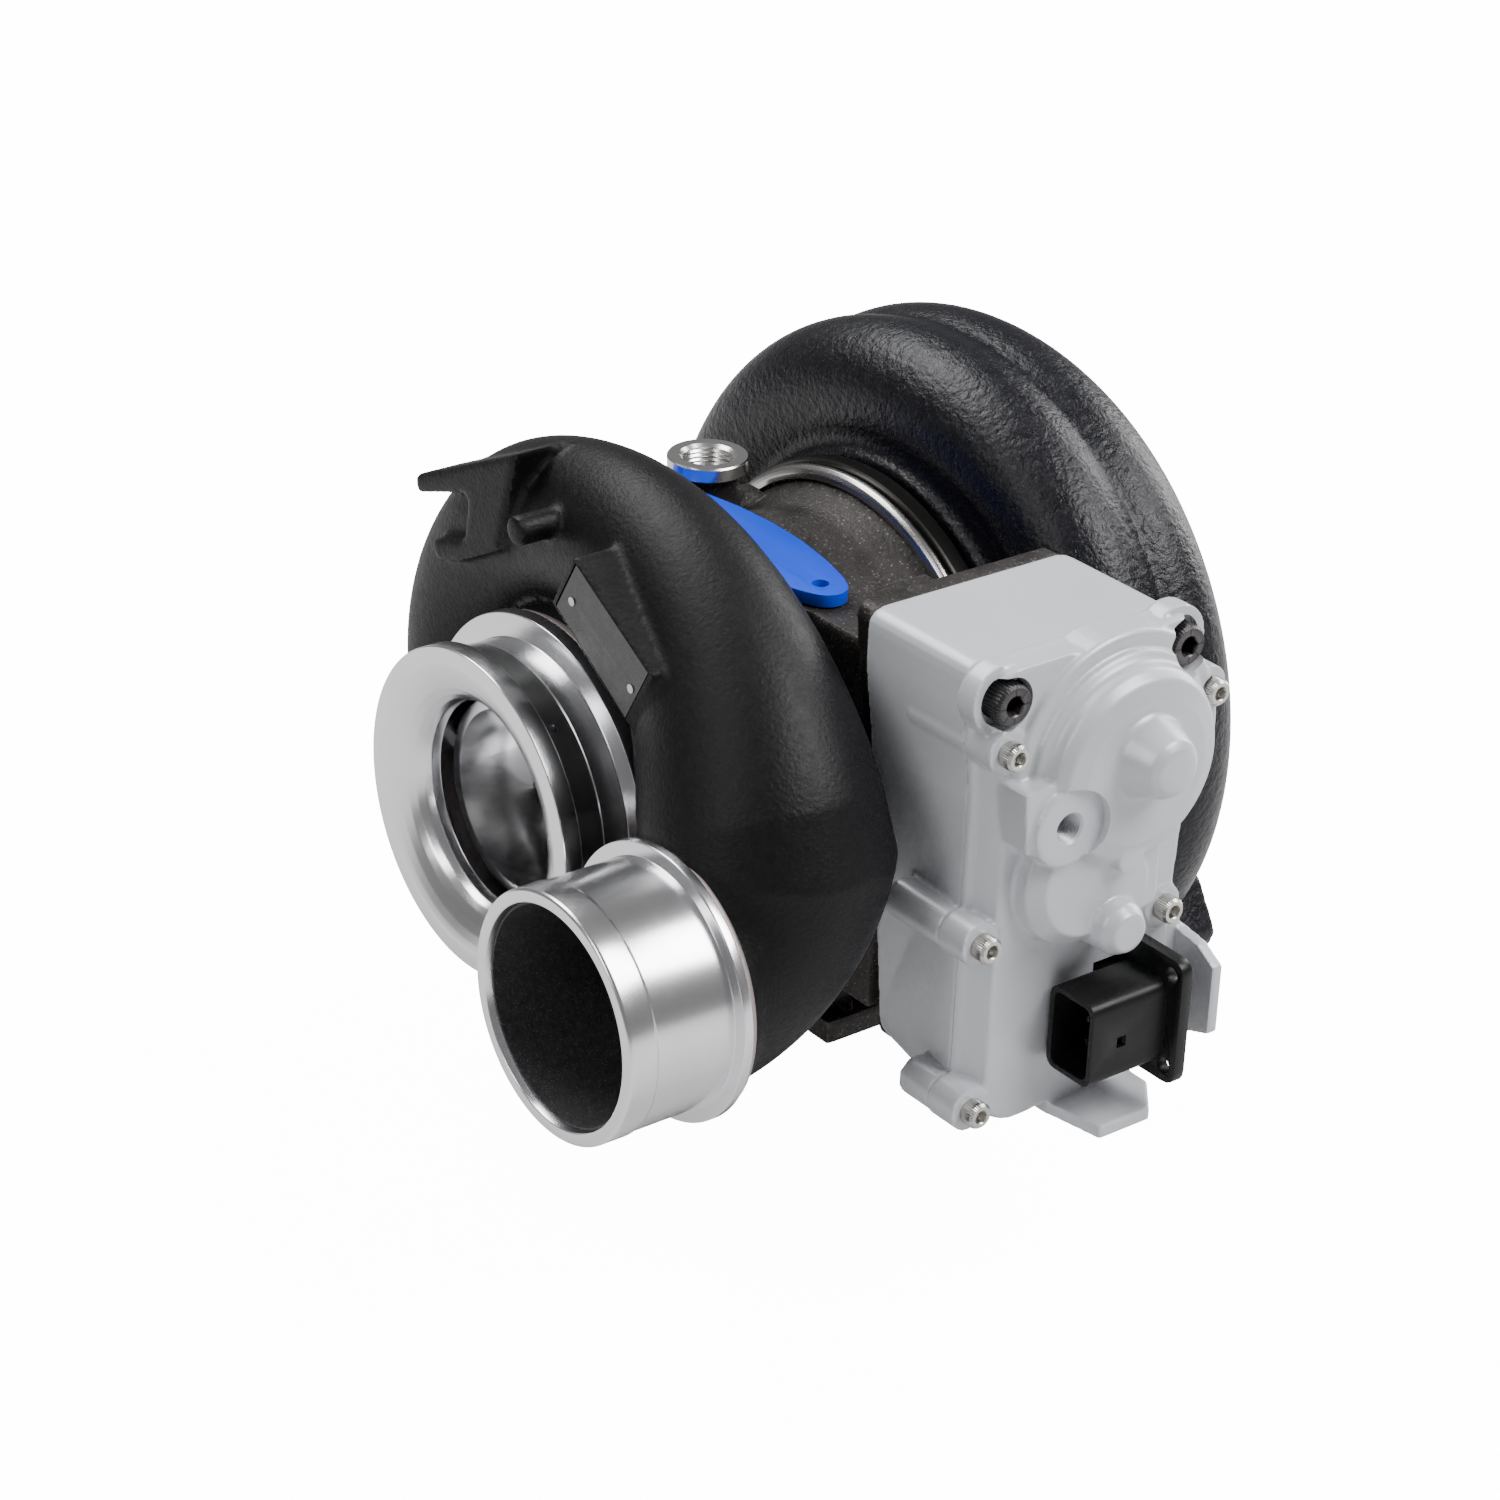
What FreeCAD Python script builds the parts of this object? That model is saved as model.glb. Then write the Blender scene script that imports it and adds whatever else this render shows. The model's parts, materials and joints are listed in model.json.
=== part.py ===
import FreeCAD, Part
import Sketcher
import math
import os
import re

# Turbocharger with a sliding-nozzle turbine and an electric actuator.
# Frame: the origin is the centre of the air inlet's front face, on the shaft axis.
# +X runs along the shaft from the compressor to the turbine, +Z is up and the
# actuator is on the -Y side. All sizes are millimetres.

os.makedirs("parts", exist_ok=True)
doc = FreeCAD.newDocument("turbocharger")
Vector = FreeCAD.Vector

# ---------------------------------------------------------------- driving sizes
SIZES = {
    # air inlet of the compressor housing
    "inlet_rim_radius": 52.9,
    "inlet_rim_width": 6.5,
    "inlet_tube_radius": 50.0,
    "inlet_lip_radius": 47.0,
    "inlet_bead_radius": 57.6,
    "inlet_bead_start": 25.5,
    "inlet_bead_end": 31.5,
    "inlet_throat_radius": 33.5,
    "inlet_throat_depth": 11.5,
    "slot_wall_radius": 38.0,
    "ring_front": 17.0,
    "ring_back": 46.0,
    "ring_radius": 32.5,
    "ring_bore": 29.0,
    "shroud_start": 49.5,
    # compressor volute and outlet
    "diffuser_front": 66.0,
    "diffuser_back": 70.0,
    "volute_back": 76.0,
    "volute_wall": 4.5,
    "outlet_y": -99.0,
    "outlet_z": -12.0,
    "outlet_radius": 38.1,
    "outlet_bore": 33.5,
    "outlet_front": -37.0,
    "outlet_bead_radius": 42.7,
    "outlet_bead_width": 4.6,
    "elbow_bend": 40.0,
    "elbow_radius": 38.0,
    # joint between the compressor housing and the bearing housing
    "register_radius": 58.0,
    "register_end": 86.0,
    "snap_ring_front": 82.4,
    "snap_ring_width": 2.0,
    "snap_ring_radius": 60.6,
    # rotor
    "shaft_thin_radius": 5.0,
    "shaft_journal_radius": 7.0,
    "wheel_front": 42.0,
    "wheel_back": 69.4,
    "exducer_radius": 43.0,
    "turbine_back": 160.0,
    "turbine_front": 192.0,
    "turbine_tip_radius": 40.0,
    "turbine_exit_radius": 35.0,
    "journal_bearing_radius": 12.0,
    "journal_bearing_length": 12.0,
    "front_bearing_x": 90.0,
    "rear_bearing_x": 128.0,
    # bearing housing
    "drum_radius": 68.0,
    "drum_start": 98.0,
    "core_radius": 45.5,
    "clamp_flange_radius": 73.0,
    "clamp_flange_front": 145.3,
    "casing_split": 150.0,
    "plate_face_y": -92.0,
    "oil_pad_top": 66.0,
    "oil_pad_x": 99.0,
    "oil_pad_y": 0.0,
    "oil_bolt_half": 45.0,
    "drain_face": -88.0,
    "drain_x": 112.0,
    "drain_y": -34.0,
    "coolant_x": 121.4,
    "coolant_y": 42.4,
    "coolant_top": 77.0,
    "coolant_radius": 13.3,
    "coolant_thread_radius": 8.1,
    # sliding nozzle
    "nozzle_outer": 66.0,
    "nozzle_inner": 46.0,
    "nozzle_face": 160.0,
    "nozzle_back": 143.0,
    "shroud_face": 171.0,
    "shroud_thickness": 3.0,
    "vane_length": 20.0,
    "vane_thickness": 3.0,
    "vane_count": 14,
    "rod_offset": 56.0,
    "rod_radius": 4.0,
    "cross_x": 112.0,
    "cross_z": -34.0,
    "cross_radius": 6.0,
    # turbine housing
    "turbine_collar_radius": 80.5,
    "turbine_wall": 5.0,
    "front_lobe_x": 179.0,
    "rear_lobe_x": 201.0,
    "exhaust_end": 240.0,
    "exhaust_bore": 42.0,
    "exhaust_flange_radius": 58.0,
    "turbine_flange_x": 189.0,
    "turbine_flange_y": 85.0,
    "turbine_flange_face": -125.0,
    "turbine_flange_thickness": 13.0,
    "turbine_bolt_x": 84.0,
    "turbine_bolt_y": 60.0,
    "turbine_bolt_radius": 5.4,
    # V-band
    "band_front": 144.6,
    "band_back": 155.4,
    "band_radius": 79.5,
    # actuator
    "actuator_back_y": -93.0,
    "actuator_split_y": -138.0,
    "actuator_front_y": -149.0,
    "actuator_left": 76.0,
    "actuator_right": 160.5,
    "actuator_top": 85.0,
    "actuator_bottom": -67.0,
    "actuator_wall": 3.5,
    "motor_x": 128.0,
    "motor_z": 48.1,
    "motor_radius": 24.0,
    "motor_dome_radius": 34.0,
    "output_x": 112.0,
    "output_z": 6.0,
    "gear_idle_x": 128.0,
    "gear_idle_z": 26.5,
    "port_x": 100.0,
    "port_z": 36.5,
    "port_radius": 12.0,
    "port_hole_radius": 4.5,
    "bolt_head_radius": 6.5,
    "screw_head_radius": 4.25,
}

sheet = doc.addObject("Spreadsheet::Sheet", "Sizes")
for row, (alias, number) in enumerate(SIZES.items(), start=1):
    sheet.set(f"A{row}", alias)
    sheet.set(f"B{row}", str(number))
    sheet.setAlias(f"B{row}", alias)
doc.recompute()


def size(alias):
    """Read one driving size from the spreadsheet."""
    return float(sheet.get(alias))


def bound(text):
    """Turn 'rim_width + 2' into an expression on the spreadsheet's cells."""
    return re.sub(r"[a-z][a-z_]+", lambda word: "Sizes." + word.group(0), str(text))


def number(text):
    """Value in millimetres of a number or of an expression on the sizes."""
    if isinstance(text, (int, float)):
        return float(text)
    return float(sheet.evalExpression(bound(text)))


# ------------------------------------------------------------- document helpers
ALONG_X = FreeCAD.Rotation()
ALONG_Y = FreeCAD.Rotation(Vector(0, 0, 1), 90)
ALONG_Z = FreeCAD.Rotation(Vector(0, 1, 0), -90)
ALONG_MINUS_Y = FreeCAD.Rotation(Vector(0, 0, 1), -90)
FACING_MINUS_Y = FreeCAD.Rotation(Vector(1, 0, 0), 90)
FLAT = FreeCAD.Rotation()
sub_parts = []


def keep(item, label):
    """Give a document object its node name and list it for export."""
    item.Label = label
    sub_parts.append(item)
    return item


def sketch_on(body, name, points):
    """Closed sketch of straight lines whose corners are bound to the sizes."""
    plane = [part for part in body.Origin.OriginFeatures if part.Role == "XY_Plane"][0]
    sketch = body.newObject("Sketcher::SketchObject", name)
    sketch.AttachmentSupport = [(plane, "")]
    sketch.MapMode = "FlatFace"
    corners = [Vector(number(u), number(v), 0) for u, v in points]
    count = len(corners)
    for index in range(count):
        sketch.addGeometry(Part.LineSegment(corners[index], corners[(index + 1) % count]), False)
    for index in range(count):
        sketch.addConstraint(Sketcher.Constraint("Coincident", index, 2, (index + 1) % count, 1))
    for index, (u, v) in enumerate(points):
        across = ("DistanceX", u, corners[index].x, -2)
        upward = ("DistanceY", v, corners[index].y, -1)
        for kind, text, place, axis in (across, upward):
            if abs(place) < 1e-6:
                sketch.addConstraint(Sketcher.Constraint("PointOnObject", index, 1, axis))
                continue
            made = sketch.addConstraint(Sketcher.Constraint(kind, -1, 1, index, 1, place))
            if isinstance(text, str):
                sketch.setExpression(f"Constraints[{made}]", bound(text))
    return sketch


def turned(label, outline, centre=(0, 0, 0), rotation=ALONG_X):
    """Body turned about its own X axis from (along, radius) corners."""
    body = doc.addObject("PartDesign::Body", label)
    sketch = sketch_on(body, label + "_outline", outline)
    revolution = body.newObject("PartDesign::Revolution", label + "_turning")
    revolution.Profile = sketch
    revolution.ReferenceAxis = (sketch, ["H_Axis"])
    revolution.Angle = 360
    body.Placement = FreeCAD.Placement(Vector(*centre), rotation)
    return keep(body, label)


def padded(label, outline, thickness, corner, rotation=FLAT, holes=()):
    """Flat plate: an outline in its own plane, padded by the thickness, with round holes."""
    body = doc.addObject("PartDesign::Body", label)
    sketch = sketch_on(body, label + "_outline", outline)
    for u, v, radius in holes:
        centre = Vector(number(u), number(v), 0)
        sketch.addGeometry(Part.Circle(centre, Vector(0, 0, 1), number(radius)), False)
    pad = body.newObject("PartDesign::Pad", label + "_pad")
    pad.Profile = sketch
    pad.setExpression("Length", bound(thickness))
    body.Placement = FreeCAD.Placement(Vector(*corner), rotation)
    return keep(body, label)


def shaped(label, shape):
    """Sub-part whose form needs a loft, teeth, blades or a group of solids."""
    feature = doc.addObject("Part::Feature", label)
    feature.Shape = shape
    return keep(feature, label)


# ---------------------------------------------------------------- shape helpers
def cylinder(radius, length, start, direction=(1, 0, 0)):
    return Part.makeCylinder(radius, length, Vector(*start), Vector(*direction))


def box(low, high):
    spans = [high[axis] - low[axis] for axis in range(3)]
    return Part.makeBox(spans[0], spans[1], spans[2], Vector(*low))


def turned_shape(outline, centre=(0, 0, 0), direction="x"):
    """Solid of revolution from (along, radius) corners about a line through the centre."""
    points = [Vector(number(along), number(radius), 0) for along, radius in outline]
    face = Part.Face(Part.makePolygon(points + points[:1]))
    solid = face.revolve(Vector(0, 0, 0), Vector(1, 0, 0), 360)
    turn = {"x": ALONG_X, "y": ALONG_Y, "z": ALONG_Z, "-y": ALONG_MINUS_Y}[direction]
    solid.Placement = FreeCAD.Placement(Vector(*centre), turn)
    return solid


def prism(points, sweep):
    """Straight prism from 3-D corner points of a flat outline."""
    corners = [Vector(*point) for point in points]
    return Part.Face(Part.makePolygon(corners + corners[:1])).extrude(Vector(*sweep))


def rounded(shape, radius, wanted):
    """Fillet the edges that pass the test."""
    edges = [edge for edge in shape.Edges if wanted(edge)]
    return shape.makeFillet(radius, edges)


def hexagon(radius, x, y, z, depth):
    """Six-sided prism along +Y from y, centred on (x, z)."""
    turns = [math.radians(60 * side) for side in range(6)]
    corners = [(x + radius * math.cos(turn), y, z + radius * math.sin(turn)) for turn in turns]
    return prism(corners, (0, depth, 0))


def joined(*shapes):
    """Fuse one piece after another, which is slower and steadier on lofted casts."""
    whole = shapes[0]
    for shape in shapes[1:]:
        whole = whole.fuse(shape)
    return whole


def inset(corners, margin):
    """Move the corners of a convex four-sided outline towards its middle."""
    middle = [sum(corner[axis] for corner in corners) / 4 for axis in (0, 1)]
    moved = []
    for y, z in corners:
        reach = math.hypot(y - middle[0], z - middle[1])
        share = 1 - margin * 1.5 / reach
        moved.append((middle[0] + (y - middle[0]) * share, middle[1] + (z - middle[1]) * share))
    return moved


def fused(*shapes):
    return shapes[0].multiFuse(list(shapes[1:])).removeSplitter()


def one_solid(shape):
    """The single largest solid of a boolean's result."""
    return max(shape.Solids, key=lambda solid: solid.Volume)


def ring_at(centre, radius, across, along, flatness=1.0):
    """Oval loft section: radius times flatness along the across direction, radius the other way."""
    oval = Part.Ellipse(Vector(0, radius * 1.0001, 0), Vector(-radius * flatness, 0, 0), Vector(0, 0, 0))
    ring = oval.toShape()
    ring.Placement = FreeCAD.Placement(centre, FreeCAD.Rotation(across, Vector(), along, "ZXY"))
    return Part.Wire(ring)


def spiral_rings(stations, thinner=0.0):
    """Round sections whose planes hold the shaft axis.

    Each station is (angle in degrees from -Y upward, centre x, centre radius, tube radius, flatness).
    """
    rings = []
    for angle, x, reach, radius, flatness in stations:
        turn = math.radians(angle)
        outward = Vector(0, -math.cos(turn), math.sin(turn))
        along = Vector(0, math.sin(turn), math.cos(turn))
        centre = Vector(x, 0, 0) + outward * reach
        rings.append(ring_at(centre, radius - thinner, Vector(1, 0, 0), along, flatness))
    return rings


def between(value, low, high, first, last):
    """Linear interpolation of value in low..high to first..last."""
    return first + (last - first) * (value - low) / (high - low)


def stations_from(rows, step):
    """Even stations along a table of (angle, x, reach, radius) key sections."""
    made = []
    for start, end in zip(rows, rows[1:]):
        count = max(1, round(abs(end[0] - start[0]) / step))
        for index in range(count):
            part = index / count
            made.append(tuple(a + (b - a) * part for a, b in zip(start, end)))
    made.append(rows[-1])
    return made


# ----------------------------------------------------------- compressor housing
PAD_X = 16
PAD_CORNERS = ((-31.6, 94.2), (-72.6, 71.2), (-60.6, 50.2), (-20.6, 75.2))
PLATE_PINS = ((-31.6, 79.5), (-61.6, 63.2))


def compressor_keys():
    """Key sections of the compressor volute: it grows clockwise seen from the inlet."""
    back = size("volute_back")
    rows = [(300, 75, 12, 1.0), (270, 77, 15, 0.95), (225, 80, 18.5, 0.9), (180, 84, 22, 0.86),
            (135, 81.5, 25, 0.82), (90, 80, 28, 0.8), (45, 89, 33, 0.87), (20, 99, 37.2, 0.97)]
    return [(angle, back - radius * flatness, reach, radius, flatness)
            for angle, reach, radius, flatness in rows]


def elbow_rings(radius, last):
    """Sections of the quarter bend from the volute's end, heading down, to the outlet."""
    bend = size("elbow_bend")
    middle = Vector(0, size("outlet_y"), size("outlet_z") + bend)
    rings = []
    for angle in (6, 18, 30, 42, 54, 66, 78):
        turn = math.radians(angle)
        outward = Vector(math.cos(turn), 0, -math.sin(turn))
        along = Vector(math.sin(turn), 0, math.cos(turn))
        rings.append(ring_at(middle + outward * bend, radius, outward, along))
    outlet = Vector(0, size("outlet_y"), size("outlet_z"))
    for x in (1.5, -4):
        rings.append(ring_at(outlet + Vector(x, 0, 0), last, Vector(0, 0, -1), Vector(1, 0, 0)))
    return rings


def compressor_housing():
    wall = size("volute_wall")
    keys = stations_from(compressor_keys(), 22)
    outside = Part.makeLoft(spiral_rings(keys) + elbow_rings(size("elbow_radius"), 36), True, False)
    passage_rings = spiral_rings(keys, wall) + elbow_rings(size("elbow_radius") - wall, 32)
    passage = Part.makeLoft(passage_rings, True, False)
    hub = turned_shape([
        (0, "inlet_lip_radius"), (0, "inlet_rim_radius"), ("inlet_rim_width", "inlet_rim_radius"),
        ("inlet_rim_width", "inlet_tube_radius"), ("inlet_bead_start", "inlet_tube_radius"),
        ("inlet_bead_start", "inlet_bead_radius"), ("inlet_bead_end", "inlet_bead_radius"),
        ("inlet_bead_end + 1", 55), (58, 62), ("diffuser_front", 74), ("volute_back", 80),
        ("volute_back + 2", 66), ("register_end", 65.5), ("register_end", "register_radius"),
        ("snap_ring_front + 2.3", "register_radius"), ("snap_ring_front + 2.3", "snap_ring_radius + 0.4"),
        ("snap_ring_front - 0.3", "snap_ring_radius + 0.4"), ("snap_ring_front - 0.3", "register_radius"),
        ("diffuser_front", "register_radius"), ("diffuser_front", "exducer_radius + 0.6"),
        (62, 36), (56, 31), ("shroud_start", "ring_bore"),
        ("shroud_start", "slot_wall_radius"), ("inlet_throat_depth + 1.5", "slot_wall_radius"),
        ("inlet_throat_depth + 1.5", "inlet_throat_radius"),
        ("inlet_throat_depth - 2", "inlet_throat_radius"),
        (5.5, 36.2), (2.2, 40.5)])
    bead_end = size("outlet_bead_width")
    outlet_y = size("outlet_y")
    outlet_z = size("outlet_z")
    front = size("outlet_front")
    spigot = cylinder(size("outlet_radius"), -front + 6, (front, outlet_y, outlet_z))
    bead = cylinder(size("outlet_bead_radius"), bead_end, (0, outlet_y, outlet_z))
    bore = cylinder(size("outlet_bore"), -front + 2, (front - 1, outlet_y, outlet_z))
    gap = turned_shape([("diffuser_front", "exducer_radius + 0.6"), ("diffuser_front", 76),
                        ("diffuser_back", 76), ("diffuser_back", "exducer_radius + 0.6")])
    plate_pad = prism([(PAD_X, y, z) for y, z in PAD_CORNERS], (26, 0, 0))
    boss = cylinder(4.5, 14, (18, 2, 89))
    lug = prism([(30, 18, 106), (30, 75, 79), (30, 74, 73), (30, 60, 78), (30, 45, 83), (30, 47, 67),
                 (30, 59, 63), (30, 66, 60), (30, 63, 54), (30, 50, 58), (30, 28, 70)], (20, 0, 0))
    shell = joined(outside, hub, spigot, bead, plate_pad, boss, lug)
    bore_tool = turned_shape([(0.5, 0), (0.5, "inlet_throat_radius"),
                              ("shroud_start", "inlet_throat_radius"),
                              ("shroud_start", "ring_bore"), (56, 31), (62, 36),
                              ("diffuser_front", "exducer_radius + 0.6"),
                              ("volute_back + 12", "register_radius"),
                              ("volute_back + 12", 0)])
    recess = prism([(PAD_X - 1, y, z) for y, z in inset(PAD_CORNERS, 1.6)], (2.4, 0, 0))
    pin_holes = Part.makeCompound([cylinder(1.42, 6, (PAD_X, y, z)) for y, z in PLATE_PINS])
    for tool in (passage, bore, gap, bore_tool, recess, pin_holes):
        shell = shell.cut(tool)
    return shaped("compressor_housing", one_solid(shell))


def recirculation_ring():
    """Turned sleeve in the inlet, held by three webs, around the wheel's inducer."""
    sleeve = turned_shape([("ring_front", "ring_bore"), ("ring_front", "ring_radius"),
                           ("ring_back", "ring_radius"), ("ring_back", "ring_bore")])
    webs = []
    for angle in (30, 150, 270):
        web = box((size("ring_front") + 8, -2, size("ring_radius") - 0.5),
                  (size("ring_back") - 2, 2, size("slot_wall_radius") - 0.07))
        web.rotate(Vector(0, 0, 0), Vector(1, 0, 0), angle)
        webs.append(web)
    return shaped("recirculation_ring", fused(sleeve, *webs))


def name_plate():
    """Blank identification plate in the recess of the housing's pad, and its two drive pins."""
    front = PAD_X + 0.2
    plate = prism([(front, y, z) for y, z in inset(PAD_CORNERS, 2.0)], (1.2, 0, 0))
    pins = [cylinder(1.4, 5, (front - 0.4, y, z)) for y, z in PLATE_PINS]
    shaped("name_plate", plate.cut(Part.makeCompound(pins)))
    shaped("name_plate_pins", Part.makeCompound(pins))


# ------------------------------------------------------------------------ rotor
def bladed_wheel(hub, blades, lines, thickness, wrap, trim=0.0):
    """Hub with radial blades lofted between a hub line and a shroud line.

    Each line is a list of (x, radius); wrap is the turn in degrees from the first station
    to the last; every second blade starts at trim along the lines.
    """
    hub_line, shroud_line = lines
    count = len(hub_line)
    made = [hub]
    for blade in range(blades):
        first = 1 if trim and blade % 2 else 0
        sections = []
        for station in range(first, count):
            share = station / (count - 1)
            angle = math.radians(360 * blade / blades + wrap * (1 - share) ** 1.6)
            outward = Vector(0, math.sin(angle), math.cos(angle))
            across = Vector(0, math.cos(angle), -math.sin(angle)) * (thickness / 2)
            root = Vector(hub_line[station][0], 0, 0) + outward * hub_line[station][1]
            tip = Vector(shroud_line[station][0], 0, 0) + outward * shroud_line[station][1]
            corners = [root - across * 1.6, root + across * 1.6, tip + across, tip - across]
            sections.append(Part.makePolygon(corners + corners[:1]))
        made.append(Part.makeLoft(sections, True, True))
    return fused(*made)


def rotor_parts():
    turned("rotor_shaft", [
        (37, 0), (37, "shaft_thin_radius"), (79.5, "shaft_thin_radius"), (79.5, "shaft_journal_radius"),
        (142, "shaft_journal_radius"), (142, 10.4), (145, 10.4), (145, 8.2), (147.6, 8.2), (147.6, 10.4),
        ("turbine_back - 2", 10.4), ("turbine_back - 2", 0)])
    hub = turned_shape([("wheel_front", "shaft_thin_radius"), ("wheel_front", 8.6), (48, 9.2), (55, 12),
                        (61, 18), (65, 27), (66.6, 36), (67.2, "exducer_radius - 0.5"),
                        ("wheel_back", "exducer_radius - 0.5"), ("wheel_back", "shaft_thin_radius")])
    hub_line = [(43, 7.6), (48, 8.2), (54.5, 10.6), (61, 17), (65.4, 26), (67.4, 35), (68.4, 42.3)]
    shroud_line = [(43, 28.5), (48.5, 28.5), (53, 29.0), (57.5, 31.2), (61.2, 34.6), (64.4, 39.0),
                   (66.4, 42.9)]
    shaped("compressor_wheel", bladed_wheel(hub, 12, (hub_line, shroud_line), 1.0, 58, 0.3))
    nut = prism([(35, 7 * math.sin(math.radians(60 * k)), 7 * math.cos(math.radians(60 * k)))
                 for k in range(6)], (6.8, 0, 0))
    washer_face = cylinder(8, 1.2, (40.6, 0, 0))
    shaft_hole = cylinder(size("shaft_thin_radius"), 12, (36.8, 0, 0))
    shaped("shaft_nut", fused(nut, washer_face).cut(shaft_hole))
    turned("thrust_collar", [(69.6, "shaft_thin_radius"), (69.6, 11.2), (76, 11.2), (76, 15), (79.3, 15),
                             (79.3, "shaft_thin_radius")])
    turbine_hub = turned_shape([("turbine_back - 1.8", 0), ("turbine_back - 1.8", 12), ("turbine_back", 14),
                                ("turbine_back", 30), (162, 31), (167, 23), (175, 15.5), (185, 11.5),
                                (194, 9),
                                (199, 8), (199, 0)])
    root_line = [(161.5, 29), (166, 22.5), (173, 15), (180, 12), (186, 10), ("turbine_front", 8)]
    root_line = [(number(x), radius) for x, radius in root_line]
    tip_line = [(161.4, "turbine_tip_radius"), (170.4, 39.6), (176, 37.6), (181, 36.0), (186, 35.2),
                ("turbine_front", "turbine_exit_radius")]
    tip_line = [(number(x), number(radius)) for x, radius in tip_line]
    shape = bladed_wheel(turbine_hub, 11, (root_line[::-1], tip_line[::-1]), 1.8, -48)
    shaped("turbine_wheel", shape)


# -------------------------------------------------------------- bearing housing
ACTUATOR_BOLTS = ((85.5, 75), (152.5, 76.5), (150, -38))


def bearing_housing():
    """Cast iron drum with the shaft's core, the yoke chamber, ports and the actuator plate."""
    drum = turned_shape([
        (78, 12.4), (78, "register_radius - 0.1"), (82.1, "register_radius - 0.1"), (82.1, 52), (90, 54),
        ("drum_start", 66), (104, "drum_radius"), (134, "drum_radius"), (141, 70),
        ("clamp_flange_front", 71), ("clamp_flange_front", "clamp_flange_radius"),
        ("casing_split - 0.1", "clamp_flange_radius"), ("casing_split - 0.1", 66.3), (127, 66.3),
        (127, "core_radius"), ("casing_split - 0.1", "core_radius"),
        ("casing_split - 0.1", 10.7), (140.3, 10.7), (140.3, 12.04), (89.7, 12.04), (89.7, 17),
        (84.2, 23), (78, 23)])
    chamber = box((100, -62, -46), (121, 62, 12)).cut(cylinder(22, 30, (95, 0, 0)))
    plate_y = size("plate_face_y")
    plate = prism([(80, plate_y, 84), (156, plate_y, 84), (156, plate_y, -62),
                   (98, plate_y, -70)], (0, 8, 0))
    plate = rounded(plate, 5, lambda edge: abs(edge.tangentAt(0).y) > 0.99)
    neck = box((90, plate_y + 4, -56), (138, -48, 65))
    far_boss = box((98, 40, -48), (124, 70, 14))
    pad_x = size("oil_pad_x")
    pad_y = size("oil_pad_y")
    pad_top = size("oil_pad_top")
    oil_pad = box((pad_x - 12, pad_y - 37, 30), (pad_x + 16, pad_y + 37, pad_top))
    bolt_pads = [cylinder(11, 36, (pad_x, pad_y + side * size("oil_bolt_half"), pad_top - 36), (0, 0, 1))
                 for side in (-1, 1)]
    drain_x = size("drain_x")
    drain_y = size("drain_y")
    drain_face = size("drain_face")
    drain = box((drain_x - 12, drain_y - 15, drain_face), (drain_x + 12, drain_y + 15, -30))
    drain_plate = box((drain_x - 12, drain_y - 19, drain_face),
                      (drain_x + 12, drain_y + 19, drain_face + 9))
    drain_ends = [cylinder(8, 9, (drain_x, drain_y + side * 19, drain_face), (0, 0, 1)) for side in (-1, 1)]
    drain_flange = fused(drain_plate, *drain_ends)
    coolant = [size("coolant_x"), size("coolant_y"), size("coolant_top")]
    boss = cylinder(size("coolant_radius"), 4.5, (coolant[0], coolant[1], coolant[2] - 4.5), (0, 0, 1))
    cup = Part.makeCone(10, size("coolant_radius") - 1.5, 5, Vector(coolant[0], coolant[1], coolant[2] - 9),
                        Vector(0, 0, 1))
    stem = cylinder(10, 40, (coolant[0], coolant[1], coolant[2] - 46), (0, 0, 1))
    casting = fused(drum, plate, neck, far_boss, oil_pad, *bolt_pads, drain, drain_flange, boss, cup, stem)
    hollow = turned_shape([(60, 0), (60, 23), (84.2, 23), (89.7, 17), (89.7, 12.04), (140.3, 12.04),
                           (140.3, 10.7), (200, 10.7), (200, 0)])
    plug_seat = box((pad_x - 17, pad_y - 17.5, pad_top), (pad_x + 16.6, pad_y + 17.5, pad_top + 9))
    ring_pocket = turned_shape([(127, "core_radius"), (127, 66.3), (170, 66.3), (170, "core_radius")])
    casting = casting.cut(hollow).cut(ring_pocket).cut(chamber).cut(plug_seat)
    bores = []
    for side in (-1, 1):
        bores.append(cylinder(6.5, 12, (118, side * size("rod_offset"), 0)))
        bolt_y = pad_y + side * size("oil_bolt_half")
        bores.append(cylinder(4.3, 50, (pad_x, bolt_y, pad_top - 16), (0, 0, 1)))
        bores.append(cylinder(3.3, 11, (drain_x, drain_y + side * 19, drain_face - 1), (0, 0, 1)))
    bores.append(cylinder(5, 60, (pad_x, pad_y, pad_top - 50), (0, 0, 1)))
    bores.append(cylinder(8.5, 46, (drain_x, drain_y, drain_face - 1), (0, 0, 1)))
    thread_start = (coolant[0], coolant[1], coolant[2] - 14)
    bores.append(cylinder(size("coolant_thread_radius"), 15, thread_start, (0, 0, 1)))
    bores.append(cylinder(9, 160, (size("cross_x"), plate_y - 2, size("cross_z")), (0, 1, 0)))
    for x, z in ACTUATOR_BOLTS:
        bores.append(cylinder(4.05, 20, (x, plate_y - 1, z), (0, 1, 0)))
    for bore in bores:
        casting = casting.cut(bore)
    return shaped("bearing_housing", one_solid(casting))


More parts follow.
